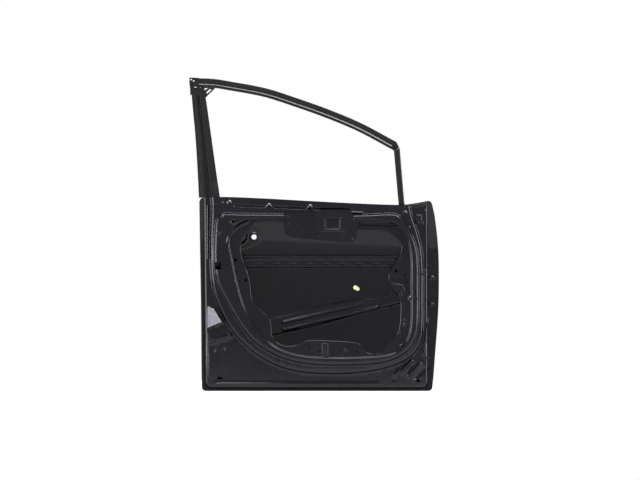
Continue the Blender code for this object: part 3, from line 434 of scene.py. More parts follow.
# Normals from the slope of the form, so that gloss runs evenly along pressed edges
def formNormals(mesh, depthAt):
    places = np.array([vert.co for vert in mesh.vertices])
    spots = places[:, (0, 2)] + (body["origin"][0], body["origin"][2])
    step = meshing["slopeStep"]
    slopes = [(depthAt(spots + move) - depthAt(spots - move)) / (2 * step)
              for move in (np.array((step, 0.0)), np.array((0.0, step)))]
    normals = np.column_stack((slopes[0], np.ones(len(spots)), slopes[1]))
    return places, normals / np.linalg.norm(normals, axis=1)[:, None]


def setNormals(mesh, places, normals, reach):
    tree = KDTree(len(places))
    for i, place in enumerate(places):
        tree.insert(place, i)
    tree.balance()
    found = [tree.find(vert.co) for vert in mesh.vertices]
    index = np.array([item[1] for item in found])
    near = np.array([item[2] for item in found]) < reach
    corner = np.array([loop.vertex_index for loop in mesh.loops])
    sizes = [len(face.vertices) for face in mesh.polygons]
    flat = np.repeat(np.array([face.normal for face in mesh.polygons]), sizes, axis=0)
    form = normals[index[corner]]
    match = (form * flat).sum(axis=1)
    use = near[corner] & (abs(match) > meshing["sameSide"])
    chosen = np.where(use[:, None], form * np.sign(match)[:, None], flat)
    mesh.normals_split_custom_set([Vector(normal) for normal in chosen])


def meshOf(name, bm):
    mesh = bpy.data.meshes.new(name)
    bm.to_mesh(mesh)
    bm.free()
    return mesh


def newObject(name, data):
    item = bpy.data.objects.new(name, data)
    bpy.context.scene.collection.objects.link(item)
    return item


# Live modifiers become the mesh, smooth but for its sharp edges
def settle(piece, sharp=40):
    graph = bpy.context.evaluated_depsgraph_get()
    mesh = bpy.data.meshes.new_from_object(piece.evaluated_get(graph), depsgraph=graph)
    piece.modifiers.clear()
    piece.data = mesh
    mesh.polygons.foreach_set("use_smooth", [True] * len(mesh.polygons))
    mesh.set_sharp_from_angle(angle=math.radians(sharp))
    mesh.update()


def addPiece(name, bm, node, slotName, thickness=0.0, sharp=40, depthAt=None, cutter=None):
    bm.normal_update()
    mesh = meshOf(name, bm)
    form = formNormals(mesh, depthAt) if depthAt else None
    piece = newObject(name, mesh)
    if thickness:
        wall = piece.modifiers.new("sheetThickness", "SOLIDIFY")
        wall.thickness = thickness
        wall.offset = 0.0
        wall.use_even_offset = True
        wall.use_quality_normals = True
    if cutter:
        cut = piece.modifiers.new("holes", "BOOLEAN")
        cut.operation = "DIFFERENCE"
        cut.solver = "EXACT"
        cut.object = cutter
    settle(piece, sharp)
    if form:
        setNormals(piece.data, *form, thickness)
    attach(piece, "root")
    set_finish(piece, slotName)
    if node:
        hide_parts(node)
    print(name, len(piece.data.polygons), "faces")
    return piece


def addPressing(name, node, outline, openings, lines, piece, depthAt, slotName="body_coat"):
    spacing = piece["grid"]
    points = gridPoints(outline, spacing, [outline, *openings, *lines],
                        spacing * meshing["clearShare"])
    bm = sheetMesh(outline, openings, lines, points, depthAt)
    return addPiece(name, bm, node, slotName, piece["thickness"], meshing["sharpAngle"],
                    depthAt)


# Both faces of a strip round its middle line
def stripSection(midline, thickness):
    normal = leftOf(np.diff(midline, axis=0))
    corner = normal[:-1] + normal[1:]
    corner *= 2 / (corner**2).sum(axis=1)[:, None]
    normal = np.vstack((normal[:1], corner, normal[-1:]))
    half = normal * thickness / 2
    return np.vstack((midline + half, (midline - half)[::-1]))


def boreCutter(name, bores):
    bm = bmesh.new()
    for place, radius, axis in bores:
        turn = Matrix.Rotation(math.radians(90), 4, "Y" if axis == "x" else "X")
        move = Matrix.Translation(Vector(placed(*place)))
        bmesh.ops.create_cone(bm, cap_ends=True, segments=meshing["boreSides"], radius1=radius,
                              radius2=radius, depth=meshing["boreLength"], matrix=move @ turn)
    cutter = newObject(name, meshOf(name, bm))
    cutter.hide_render = True
    return cutter


windowFrame = {
    "thickness": 0.0012,
    "beltHeight": 0.775,
    "glassDepth": 0.075,
    "lean": math.tan(math.radians(10)),
    "glassRadius": 1.90,
    "outerFace": 0.008,
    "innerFace": 0.020,
    "bendRadius": 0.0035,
    "cornerBores": [((-0.0236, 0.140, 1.2096), 0.0048, "y")],
}
header = {
    "width": 0.036,
    "stations": 64,
    "lower": [
        (-0.022, 1.5535), (0.016, 1.5530), (0.055, 1.550), (0.097, 1.542), (0.260, 1.505),
        (0.393, 1.454), (0.527, 1.396), (0.660, 1.328), (0.802, 1.236),
    ],
    "tip": [(0.810, 1.2297), (0.832, 1.246)],
    "section": [
        (0.02, 1.0), (0.80, 1.0), (0.98, 0.55), (0.98, -0.25), (0.93, -0.40), (0.78, -0.38),
        (0.52, -0.30), (0.42, -0.34), (0.27, -0.64), (0.20, -0.70), (0.06, -0.70), (0.02, -0.56),
    ],
}
pillar = {
    "stations": 40,
    "rear": [
        (-0.013, 0.9905), (-0.020, 1.169), (-0.028, 1.323), (-0.036, 1.431), (-0.044, 1.5525),
    ],
    "front": [(0.077, 0.9925), (0.062, 1.122), (0.048, 1.246), (0.034, 1.370), (0.013, 1.5525)],
    "section": [
        (0.985, 1.0), (0.04, 1.0), (0.01, 0.6), (0.01, 0.0), (0.12, 0.0), (0.19, -0.60),
        (0.38, -0.68), (0.44, -0.50), (0.51, -0.50), (0.59, -0.98), (0.985, -1.0),
    ],
}
sash = {
    "stations": 36,
    "rear": [(0.873, 0.436), (0.828, 0.966), (0.8085, 1.2285)],
    "front": [(0.895, 0.436), (0.854, 0.966), (0.834, 1.2460)],
    "section": [
        (0.03, 1.0), (0.88, 1.0), (0.97, 0.7), (0.97, -0.72), (0.86, -0.92), (0.40, -0.95),
        (0.22, -0.80), (0.03, -0.80),
    ],
}
channel = {
    "thickness": 0.0010,
    "leg": 0.016,
    "nest": 0.0017,
    "stations": 48,
    "front": [
        (0.1420, 0.436), (0.108, 0.720), (0.0745, 1.010), (0.0605, 1.122), (0.0465, 1.246),
        (0.0325, 1.370), (0.019, 1.485),
    ],
    "section": [(0.98, 1.0), (0.06, 1.0), (0.06, -1.0), (0.98, -1.0)],
}


# Depth of the plane that the glass leans and curves in
def glassDepth(z):
    above = z - windowFrame["beltHeight"]
    lean = windowFrame["lean"] * above + above**2 / (2 * windowFrame["glassRadius"])
    return windowFrame["glassDepth"] + lean


# Folded strip lofted between two edges; its section is in shares of the width and faces
def frameMember(name, lowEdge, highEdge, section, thickness, outerFace, innerFace):
    bm = bmesh.new()
    rings = []
    for low, high in zip(lowEdge, highEdge):
        across = high - low
        width = np.linalg.norm(across)
        across = across / width
        bends = [(u * width, v * (outerFace if v > 0 else innerFace)) for u, v in section]
        midline = roundedPath(bends, windowFrame["bendRadius"])
        ring = []
        for u, v in stripSection(midline, thickness):
            x, z = low + across * u
            ring.append(bm.verts.new(placed(x, glassDepth(z) - v, z)))
        rings.append(ring)
    for near, far in zip(rings, rings[1:]):
        for i in range(len(near)):
            j = (i + 1) % len(near)
            bm.faces.new((near[i], near[j], far[j], far[i]))
    caps = [bm.faces.new(rings[0][::-1]), bm.faces.new(rings[-1])]
    bmesh.ops.triangulate(bm, faces=caps)
    bmesh.ops.recalc_face_normals(bm, faces=bm.faces)
    cutter = boreCutter("corner_bores", windowFrame["cornerBores"])
    addPiece(name, bm, name.removesuffix("_look"), "frame_coat", cutter=cutter)
    bpy.data.objects.remove(cutter)


def buildFrame():
    faces = windowFrame["outerFace"], windowFrame["innerFace"]
    low = alongLine(header["lower"], header["stations"])
    high = low + leftOf(np.gradient(low, axis=0)) * header["width"]
    tip = toLengths(header["tip"])
    frameMember("header_rail_look", np.vstack((low, tip[:1])), np.vstack((high, tip[1:])),
                header["section"], windowFrame["thickness"], *faces)
    for name, member in (("b_pillar_sash_look", pillar), ("front_sash_look", sash)):
        edges = [alongLine(member[side], member["stations"]) for side in ("rear", "front")]
        frameMember(name, *edges, member["section"], windowFrame["thickness"], *faces)
    front = alongLine(channel["front"], channel["stations"])
    nested = [face - channel["nest"] for face in faces]
    frameMember("rear_glass_channel_look", front - (channel["leg"], 0.0), front,
                channel["section"], channel["thickness"], *nested)


panel = {
    "thickness": 0.0010,
    "land": 0.076,
    "flangeInset": 0.0022,
    "draft": math.tan(math.radians(5)),
    "cornerRadius": 0.024,
    "filletRadius": 0.0060,
    "rollRadius": 0.0035,
    "convexRadius": 0.0085,
    "concaveRadius": 0.0035,
    "wallAngle": math.radians(72),
    "grid": 0.0140,
    "spacing": 0.0075,
    "wall": [(0.019, 0.023), (0.949, 0.023), (0.949, 1.250), (0.008, 1.250)],
    "shelf": [
        (0.068, 1.236), (0.040, 0.903), (0.035, 0.723), (0.042, 0.554), (0.070, 0.436),
        (0.114, 0.333), (0.173, 0.246), (0.253, 0.169), (0.359, 0.113), (0.489, 0.090),
        (0.667, 0.095), (0.802, 0.128), (0.887, 0.182), (0.926, 0.265), (0.934, 0.374),
        (0.934, 0.467), (0.934, 0.621), (0.928, 0.723), (0.910, 0.815), (0.884, 0.913),
        (0.874, 1.000), (0.868, 1.236),
    ],
    "face": [
        (0.084, 0.910), (0.063, 0.887), (0.056, 0.846), (0.051, 0.682), (0.063, 0.569),
        (0.095, 0.481), (0.145, 0.373), (0.215, 0.259), (0.331, 0.174), (0.456, 0.139),
        (0.624, 0.133), (0.772, 0.149), (0.861, 0.200), (0.904, 0.282), (0.914, 0.390),
        (0.914, 0.518), (0.914, 0.636), (0.908, 0.723), (0.892, 0.785), (0.864, 0.851),
        (0.841, 0.892), (0.810, 0.910), (0.667, 0.905), (0.414, 0.908), (0.160, 0.910),
    ],
    "recess": [
        (0.110, 0.749), (0.114, 0.800), (0.139, 0.849), (0.190, 0.884), (0.346, 0.889),
        (0.540, 0.887), (0.684, 0.882), (0.802, 0.869), (0.840, 0.846), (0.869, 0.800),
        (0.882, 0.733), (0.888, 0.662), (0.888, 0.544), (0.888, 0.374), (0.878, 0.287),
        (0.852, 0.226), (0.806, 0.187), (0.709, 0.169), (0.498, 0.167), (0.401, 0.180),
        (0.316, 0.216), (0.253, 0.278), (0.203, 0.359), (0.165, 0.456), (0.135, 0.595),
        (0.118, 0.697),
    ],
    "aperture": [
        (0.167, 0.761), (0.177, 0.795), (0.203, 0.821), (0.213, 0.849), (0.236, 0.864),
        (0.346, 0.865), (0.540, 0.862), (0.635, 0.856), (0.658, 0.828), (0.768, 0.818),
        (0.810, 0.792), (0.838, 0.754), (0.840, 0.723), (0.829, 0.686), (0.802, 0.628),
        (0.788, 0.592), (0.792, 0.554), (0.815, 0.521), (0.833, 0.482), (0.838, 0.415),
        (0.831, 0.323), (0.812, 0.269), (0.778, 0.238), (0.755, 0.200), (0.719, 0.190),
        (0.688, 0.208), (0.662, 0.244), (0.540, 0.259), (0.447, 0.261), (0.420, 0.249),
        (0.384, 0.232), (0.348, 0.233), (0.314, 0.254), (0.295, 0.290), (0.291, 0.354),
        (0.276, 0.387), (0.243, 0.423), (0.213, 0.467), (0.203, 0.554), (0.189, 0.621),
        (0.172, 0.674), (0.163, 0.726),
    ],
    "bossWall": 0.75,
    "beadLift": 1.3,
    "beadWall": 0.8,
    "ribWall": 0.42,
    "patchRadius": 0.004,
    "patchBends": (0.003, 0.002),
    "coneReach": (0.0, 0.12, 0.30, 0.70, 0.88, 1.0),
    "coneHeight": (0.0, 0.05, 0.22, 0.78, 0.95, 1.0),
    "bendPoints": 5,
    "softPoints": 6,
    "cornerSegments": 8,
    "holePoints": 16,
    "stepShares": (0.48, 0.38),
    "footShares": (0.35, 0.68),
    "wedgeShares": (0.0, 0.3, 0.6, 1.0, 1.5),
    "farReach": 0.3,
    "clearance": 0.004,
    "bandMargin": 0.003,
    "bandReach": 0.008,
}
panel["steps"] = [
    {"line": "shelf", "rise": 0.020, "run": 0.008},
    {"line": "face", "rise": 0.020, "run": 0.008},
    {"line": "recess", "rise": -0.011, "run": 0.007},
]
# Round dents and bosses: place in metres, radius, rise
panel["bosses"] = [
    (0.110, 0.754, 0.0115, 0.0056), (0.268, 0.742, 0.0115, 0.0056), (0.432, 0.737, 0.0115, 0.0056),
    (0.127, 0.677, 0.0140, 0.0050), (0.068, 0.6425, 0.0200, 0.0040),
    (0.084, 0.754, 0.0050, 0.0030), (0.082, 0.697, 0.0050, 0.0030), (0.832, 0.372, 0.0100, 0.0050),
    (0.866, 0.368, 0.0065, 0.0040), (0.811, 0.288, 0.0050, 0.0030), (0.810, 0.268, 0.0050, 0.0030),
    (0.790, 0.240, 0.0050, 0.0030), (0.796, 0.184, 0.0060, 0.0030), (0.813, 0.715, 0.0080, 0.0045),
    (0.892, 0.722, 0.0050, 0.0030), (0.864, 0.673, 0.0040, 0.0030), (0.882, 0.673, 0.0040, 0.0030),
    (0.830, 0.655, 0.0050, 0.0030), (0.928, 0.568, 0.0070, -0.0030),
    (0.900, 0.132, 0.0080, 0.0040), (0.576, 0.168, 0.0090, 0.0030),
    (0.052, 0.160, 0.0050, -0.0025), (0.090, 0.168, 0.0050, -0.0025),
    (0.870, 0.046, 0.0080, -0.0030), (0.770, 0.046, 0.0080, -0.0030),
    (0.920, 0.044, 0.0060, 0.0030), (0.136, 0.440, 0.0050, 0.0030), (0.142, 0.418, 0.0050, 0.0030),
    (0.848, 0.046, 0.0050, 0.0025),
]
# Long beads: both ends, radius, rise
panel["beads"] = [
    ((0.034, 0.197), (0.112, 0.224), 0.0110, 0.0060),
    ((0.800, 0.080), (0.838, 0.120), 0.0085, 0.0050),
    ((0.828, 0.062), (0.872, 0.108), 0.0085, 0.0050),
    ((0.858, 0.052), (0.898, 0.092), 0.0065, -0.0040),
    ((0.772, 0.066), (0.790, 0.084), 0.0065, 0.0040),
    ((0.914, 0.456), (0.926, 0.456), 0.0050, 0.0030),
    ((0.914, 0.348), (0.927, 0.348), 0.0050, 0.0030),
    ((0.130, 0.741), (0.250, 0.735), 0.0050, -0.0030),
    ((0.286, 0.734), (0.414, 0.729), 0.0050, -0.0030),
    ((0.452, 0.727), (0.590, 0.722), 0.0050, -0.0030),
    ((0.812, 0.742), (0.900, 0.748), 0.0040, 0.0030),
    ((0.898, 0.500), (0.898, 0.640), 0.0045, 0.0030),
    ((0.878, 0.470), (0.896, 0.494), 0.0045, 0.0030),
    ((0.600, 0.714), (0.640, 0.712), 0.0060, 0.0030),
    ((0.024, 0.530), (0.024, 0.740), 0.0045, 0.0025),
    ((0.024, 0.060), (0.024, 0.230), 0.0045, 0.0025),
    ((0.060, 0.030), (0.700, 0.030), 0.0045, 0.0020),
    ((0.888, 0.150), (0.904, 0.290), 0.0045, 0.0030),
]
# Curved ribs: line, width, rise
panel["ribs"] = [
    ([(0.1016, 0.590), (0.106, 0.612), (0.120, 0.636), (0.144, 0.658), (0.166, 0.670),
      (0.188, 0.678)], 0.012, 0.0045),
]
# Pressings of their own outline, in shares, with their rise and the run of their walls
panel["patches"] = [
    {"rise": 0.005, "run": 0.004,
     "line": [(0.902, 0.860), (0.928, 0.860), (0.928, 0.905), (0.902, 0.905)]},
    {"rise": -0.005, "run": 0.005,
     "line": [(0.655, 0.868), (0.820, 0.862), (0.838, 0.848), (0.800, 0.842), (0.668, 0.846)]},
    {"rise": 0.004, "run": 0.005,
     "line": [(0.795, 0.560), (0.850, 0.545), (0.862, 0.500), (0.842, 0.478), (0.838, 0.520)]},
    {"rise": 0.004, "run": 0.004,
     "line": [(0.806, 0.690), (0.838, 0.730), (0.860, 0.700), (0.836, 0.668)]},
]
# Leaning pressings rise from their rear edge to their front edge
panel["wedges"] = [
    {"rise": 0.024, "run": 0.003,
     "line": [(0.020, 0.318), (0.090, 0.352), (0.072, 0.388), (0.052, 0.428), (0.020, 0.438)]},
    {"rise": 0.0066, "run": 0.002,
     "line": [(0.506, 0.186), (0.532, 0.186), (0.532, 0.246), (0.506, 0.246)]},
]
# Holes: place in metres, radius, stretch along x
panel["holes"] = [
    (0.135, 0.524, 0.0065, 1.0), (0.176, 0.444, 0.0065, 1.0), (0.126, 0.678, 0.0065, 1.0),
    (0.775, 0.480, 0.0065, 1.0), (0.864, 0.041, 0.0065, 1.0), (0.140, 0.476, 0.0035, 1.0),
    (0.148, 0.440, 0.0035, 1.0), (0.817, 0.436, 0.0035, 1.0), (0.812, 0.464, 0.0035, 1.0),
    (0.854, 0.398, 0.0035, 1.0), (0.812, 0.288, 0.0030, 1.0), (0.796, 0.240, 0.0030, 1.0),
    (0.794, 0.190, 0.0030, 1.0), (0.428, 0.173, 0.0035, 1.0), (0.472, 0.160, 0.0035, 1.0),
    (0.620, 0.158, 0.0035, 1.0), (0.690, 0.145, 0.0032, 3.4), (0.576, 0.168, 0.0030, 1.0),
    (0.072, 0.052, 0.0045, 2.6), (0.768, 0.044, 0.0035, 1.0), (0.900, 0.132, 0.0032, 1.0),
    (0.424, 0.187, 0.0030, 1.0), (0.624, 0.026, 0.0030, 1.0), (0.436, 0.733, 0.0045, 1.0),
    (0.880, 0.680, 0.0032, 1.0), (0.114, 0.750, 0.0045, 1.0), (0.272, 0.738, 0.0045, 1.0),
]
panel["latchHole"] = [(0.055, 0.624), (0.081, 0.624), (0.081, 0.661), (0.055, 0.661)]
# Bores through the front and rear walls: place, radius, axis
panel["wallBores"] = [
    ((0.9025, 0.0485, 0.588), 0.0055, "x"), ((0.9025, 0.0485, 0.532), 0.0055, "x"),
    ((0.9025, 0.0485, 0.218), 0.0055, "x"), ((0.9025, 0.0485, 0.162), 0.0055, "x"),
    ((0.9025, 0.0485, 0.470), 0.0100, "x"), ((0.9025, 0.0485, 0.492), 0.0045, "x"),
    ((0.9025, 0.0485, 0.448), 0.0045, "x"), ((0.0140, 0.0460, 0.420), 0.0140, "x"),
    ((0.0140, 0.0460, 0.455), 0.0045, "x"), ((0.0140, 0.0460, 0.385), 0.0045, "x"),
]


def flangeDepth(points):
    return skinDepth(points) + skin["thickness"] / 2 + skin["hemGap"] + panel["thickness"] / 2


# Walls of a pressing, seen from the side: distance inward from its outline, and height
def stepProfile(rise, run, convex, concave):
    size = abs(rise)
    most = panel["stepShares"]
    radii = [min(concave, size * most[1]), min(convex, size * most[0])]
    if rise < 0:
        radii.reverse()
    angle = panel["wallAngle"]
    straight = (size - sum(radii) * (1 - math.cos(angle))) / math.tan(angle)
    total = straight + sum(radii) * math.sin(angle)
    turns = np.linspace(0.0, angle, panel["bendPoints"])
    curve = np.column_stack((np.sin(turns), 1 - np.cos(turns)))
    path = np.vstack((radii[0] * curve, (total, size) - radii[1] * curve[::-1]))
    return path[:, 0] - (total - run) / 2, math.copysign(1.0, rise) * path[:, 1]


def softProfile(rise, run):
    shares = np.linspace(0.0, 1.0, panel["softPoints"])
    return shares * run, rise * shares * shares * (3 - 2 * shares)


def coneProfile(rise, run):
    return np.array(panel["coneReach"]) * run, np.array(panel["coneHeight"]) * rise


# Every raised or sunk form with its outline and profile
def pressings():
    spacing = panel["spacing"]
    found = []
    for step in panel["steps"]:
        profile = stepProfile(step["rise"], step["run"], panel["convexRadius"],
                              panel["concaveRadius"])
        found.append((smoothLoop(panel[step["line"]], spacing), *profile))
    for x, z, radius, rise in panel["bosses"]:
        found.append((circle((x, z), radius), *coneProfile(rise, radius * panel["bossWall"])))
    for start, end, radius, rise in panel["beads"]:
        profile = softProfile(rise * panel["beadLift"], radius * panel["beadWall"])
        found.append((divided(slot(start, end, radius), spacing), *profile))
    for line, width, rise in panel["ribs"]:
        path = evenLine(smoothLine(np.array(line), False), spacing, False)
        loop = counterclockwise(stripSection(path, width))
        found.append((loop, *softProfile(rise, width * panel["ribWall"])))
    for patch in panel["patches"]:
        loop = roundedOutline(patch["line"], panel["patchRadius"], spacing)
        found.append((loop, *stepProfile(patch["rise"], patch["run"], *panel["patchBends"])))
    return found


def wedgeLoops():
    return [(roundedOutline(wedge["line"], panel["patchRadius"], panel["spacing"]),
             wedge["rise"], wedge["run"]) for wedge in panel["wedges"]]


def wallProfile():
    radius = panel["filletRadius"]
    turns = np.radians(np.linspace(0, 90, panel["softPoints"]))
    return radius * (1 - np.cos(turns)) - radius * panel["draft"]


# Depth of the pressed sheet: flange, draft wall and land, then every form that stands on it
def panelDepth(points, wall, rises, slopes, aperture):
    radius = panel["filletRadius"]
    inside = distanceInside(wall, points) + radius * panel["draft"]
    toEdge = np.clip(radius - inside, 0.0, radius)
    fillet = radius - np.sqrt(np.maximum(0.0, radius**2 - toEdge**2))
    side = panel["land"] - radius + inside / panel["draft"]
    depth = np.where(inside >= 0, panel["land"] - fillet, side)
    depth = np.maximum(depth, flangeDepth(points))
    for contour, reach, heights in rises:
        big = np.ptp(contour, axis=0).max() > panel["farReach"]
        inside = distanceInside(contour, points, None if big else reach[-1] * 2)
        depth = depth + np.interp(inside, reach, heights)
    for contour, rise, run in slopes:
        low, high = contour[:, 0].min(), contour[:, 0].max()
        lean = np.clip((points[:, 0] - low) / (high - low), 0.0, 1.0)
        depth = depth + rise * lean * lift(contour, points, run, run * 2)
    roll = panel["rollRadius"]
    outside = np.clip(-distanceInside(aperture, points), 0.0, roll)
    return depth - (roll - np.sqrt(roll**2 - (roll - outside) ** 2))


def buildInnerPanel():
    spacing = panel["spacing"]
    outline = inset(bodyOutline(0.0, spacing)[0], panel["flangeInset"])
    wall = roundedOutline(panel["wall"], panel["cornerRadius"], spacing,
                          panel["cornerSegments"])
    drop = (panel["land"] - flangeDepth(wall)) * panel["draft"]
    foot = inset(wall, -drop)
    rises = pressings()
    slopes = wedgeLoops()
    lines = insets(wall, wallProfile())
    lines += runLines(wall, -drop, panel["footShares"]) + [foot]
    for contour, reach, _ in rises:
        lines += insets(contour, reach)
    for contour, _, run in slopes:
        lines += runLines(contour, run, panel["wedgeShares"])
    aperture = smoothLoop(panel["aperture"], spacing)
    turns = np.radians(np.linspace(0, 90, panel["bendPoints"])[1:])
    lines += insets(aperture, [-panel["rollRadius"] * (1 - math.cos(turn)) for turn in turns])
    openings = [aperture]
    openings += [circle((x, z), radius, panel["holePoints"], stretch)
                 for x, z, radius, stretch in panel["holes"]]
    openings.append(toLengths(panel["latchHole"]))
    points = gridPoints(outline, panel["grid"], [wall, foot, *openings], panel["clearance"])
    bands = [(contour, reach[0], reach[-1]) for contour, reach, _ in rises]
    bands += [(contour, 0.0, run) for contour, _, run in slopes]
    margin = panel["bandMargin"]
    for contour, low, high in bands:
        near = distanceInside(contour, points, high + panel["bandReach"])
        points = points[(near < low - margin) | (near > high + margin)]

    def depthAt(spots):
        return panelDepth(spots, wall, rises, slopes, aperture)

    bm = sheetMesh(outline, openings, lines, points, depthAt)
    cutter = boreCutter("wall_bores", panel["wallBores"])
    addPiece("inner_panel_look", bm, "inner_panel", "body_coat", panel["thickness"],
             meshing["sharpAngle"], depthAt, cutter)
    bpy.data.objects.remove(cutter)


def buildOuterPanel():
    outline, hemmed = bodyOutline(skin["topDrop"], skin["edgeSpacing"])
    fold = skin["thickness"] / 2 + skin["hemGap"] + panel["thickness"] / 2
    rim = inset(outline, fold)
    radii = skin["scoopRadii"]
    scoop = circle(skin["scoopCentre"], radii[1], skin["scoopPoints"], radii[0] / radii[1])
    run = skin["scoopRun"]
    lines = [inset(rim, skin["rimLine"])]
    lines += runLines(scoop, run, skin["scoopShares"]) + [scoop]
    openings = [circle((x, z), radius, skin["holePoints"])
                for x, z, radius in (skin["frontHole"], skin["rearHole"])]
    blend = skin["creaseBlend"]
    points = gridPoints(rim, skin["grid"], [*openings, *lines], skin["clearance"])
    away = abs(points[:, 1] - creaseLine(points[:, 0]))
    points = points[away > blend * skin["creaseMargin"]]
    xs = np.arange(skin["rimLine"], body["length"] - skin["rimLine"], skin["grid"] / 2)
    rows = np.vstack([np.column_stack((xs, creaseLine(xs) + step))
                      for step in (-blend, -blend / 2, 0.0, blend / 2, blend)])
    clear = distanceInside(rim, rows) > skin["clearance"]
    for loop in openings + lines[1:]:
        clear &= abs(distanceInside(loop, rows)) > skin["rowClearance"]
    points = np.vstack((points, rows[clear]))

    def depthAt(spots):
        return skinDepth(spots) + skin["scoopDepth"] * lift(scoop, spots, run)

    bm = sheetMesh(rim, openings, lines, points, depthAt)
    origin = body["origin"]
    edgeVerts = {}
    for vert in bm.verts:
        spot = (vert.co.x + origin[0], vert.co.z + origin[2])
        gaps = np.hypot(*(rim - spot).T)
        nearest = int(np.argmin(gaps))
        if gaps[nearest] < meshing["mergeDistance"] and hemmed[nearest]:
            edgeVerts[vert] = nearest
    edges = [edge for edge in bm.edges
             if edge.is_boundary and all(vert in edgeVerts for vert in edge.verts)]
    base = skinDepth(rim)
    turns = np.radians(np.linspace(0, 180, skin["hemTurns"] + 1)[1:])
    rows = [(fold * (1 - math.sin(turn)), fold * (1 - math.cos(turn))) for turn in turns]
    rows += [(fold + skin["hemWidth"] * share, 2 * fold) for share in (0.5, 1.0)]
    # each row of the hem is extruded, then moved inward and deeper
    for inward, deeper in rows:
        ring = inset(outline, inward)
        out = bmesh.ops.extrude_edge_only(bm, edges=edges)["geom"]
        newVerts = [item for item in out if isinstance(item, bmesh.types.BMVert)]
        newEdges = [item for item in out if isinstance(item, bmesh.types.BMEdge)]
        byPlace = {tuple(vert.co): index for vert, index in edgeVerts.items()}
        edgeVerts = {vert: byPlace[tuple(vert.co)] for vert in newVerts}
        for vert, index in edgeVerts.items():
            extra = skinDepth(ring[index])[0] - base[index] if inward > fold else 0.0
            vert.co = placed(ring[index][0], base[index] + extra + deeper, ring[index][1])
        edges = [edge for edge in newEdges if all(vert in edgeVerts for vert in edge.verts)]
    bmesh.ops.recalc_face_normals(bm, faces=bm.faces)
    addPiece("outer_panel_look", bm, "outer_panel", "body_coat", skin["thickness"],
             meshing["sharpAngle"])


beam = {
    "thickness": 0.0016,
    "standoff": 0.006,
    "rise": 0.014,
    "flange": 0.012,
    "wall": 0.0065,
    "beadRise": 0.008,
    "beadRadius": 0.009,
    "grid": 0.012,
    "bottom": [
        (0.018, 0.205), (0.181, 0.236), (0.300, 0.270), (0.447, 0.308), (0.571, 0.346),
        (0.749, 0.405), (0.793, 0.419), (0.9475, 0.460),
    ],
    "top": [
        (0.9475, 0.530), (0.802, 0.515), (0.749, 0.500), (0.642, 0.486), (0.447, 0.437),
        (0.291, 0.389), (0.181, 0.349), (0.018, 0.313),
    ],
    "beads": [((0.345, 0.352), (0.665, 0.443)), ((0.345, 0.315), (0.740, 0.428))],
    "bosses": [(0.748, 0.336, 0.007, 0.004), (0.757, 0.404, 0.006, 0.003)],
    "beadStep": 0.006,
    "beadWall": 0.8,
    "beadShares": (0.0, 0.3, 0.55, 0.8),
    "wallShares": (0.0, 0.25, 0.5, 0.75, 1.0),
    "bossWall": 0.5,
    "bossShares": (1.0, 0.75, 0.5),
    "bossPoints": 20,
    "endSteps": (8, 10),
}


def buildBeam():
    bottom = smoothRun(beam["bottom"], beam["grid"])
    top = smoothRun(beam["top"], beam["grid"])
    corners = toLengths([beam["bottom"][0], beam["bottom"][-1], beam["top"][0], beam["top"][-1]])
    front = np.linspace(corners[1], corners[2], beam["endSteps"][0])[1:-1]
    rear = np.linspace(corners[3], corners[0], beam["endSteps"][1])[1:-1]
    outline = np.vstack((bottom, front, top, rear))
    flange = beam["flange"]
    rails = [bottom + (0.0, flange), top - (0.0, flange)]
    # the hat runs out past both ends
    for rail, side in zip(rails, (1, -1)):
        rail[0, 0] -= side * flange
        rail[-1, 0] += side * flange
    crown = divided(np.vstack(rails), beam["grid"])
    radius = beam["beadRadius"]
    beads = [divided(slot(*toLengths(line), radius), beam["beadStep"]) for line in beam["beads"]]

    def depthAt(spots):
        depth = skinDepth(spots) + skin["thickness"] / 2 + beam["standoff"]
        depth = depth + beam["rise"] * lift(crown, spots, beam["wall"])
        for bead in beads:
            share = lift(bead, spots, radius * beam["beadWall"], radius * 2)
            depth = depth + beam["beadRise"] * share
        return withBosses(depth, spots, beam["bosses"], beam["bossWall"])

    lines = runLines(crown, beam["wall"], beam["wallShares"])
    for bead in beads:
        lines += runLines(bead, radius, beam["beadShares"])
    lines += bossRings(beam["bosses"], beam["bossShares"], beam["bossPoints"])
    addPressing("side_impact_beam_look", "side_impact_beam", outline, [], lines, beam, depthAt)


stiffener = {
    "thickness": 0.0010,
    "gap": 0.0008,
    "rise": 0.006,
    "ridgeRise": 0.008,
    "ridgeRadius": 0.008,
    "slotHalf": 0.008,
    "rim": 0.003,
    "dip": 0.0010,
    "slotRadius": 0.003,
    "grid": 0.012,
    "outline": [(0.110, 0.616), (0.865, 0.616), (0.865, 0.709), (0.110, 0.709)],
    "web": [(0.120, 0.630), (0.855, 0.630), (0.855, 0.699), (0.120, 0.699)],
    "ridge": ((0.135, 0.688), (0.840, 0.688)),
    "slots": [0.245, 0.315, 0.385, 0.455, 0.525, 0.595, 0.665, 0.735, 0.805],
    "slotHeight": 0.650,
    "cornerRadius": 0.006,
    "webRadius": 0.008,
    "ridgeWall": 0.8,
    "ridgeShares": (0.0, 0.3, 0.55, 0.8),
    "rimShares": (0.0, 0.25, 0.5, 0.75),
    "rimReach": 0.01,
    "slotPoints": 8,
    "ridgeReach": 0.02,
}


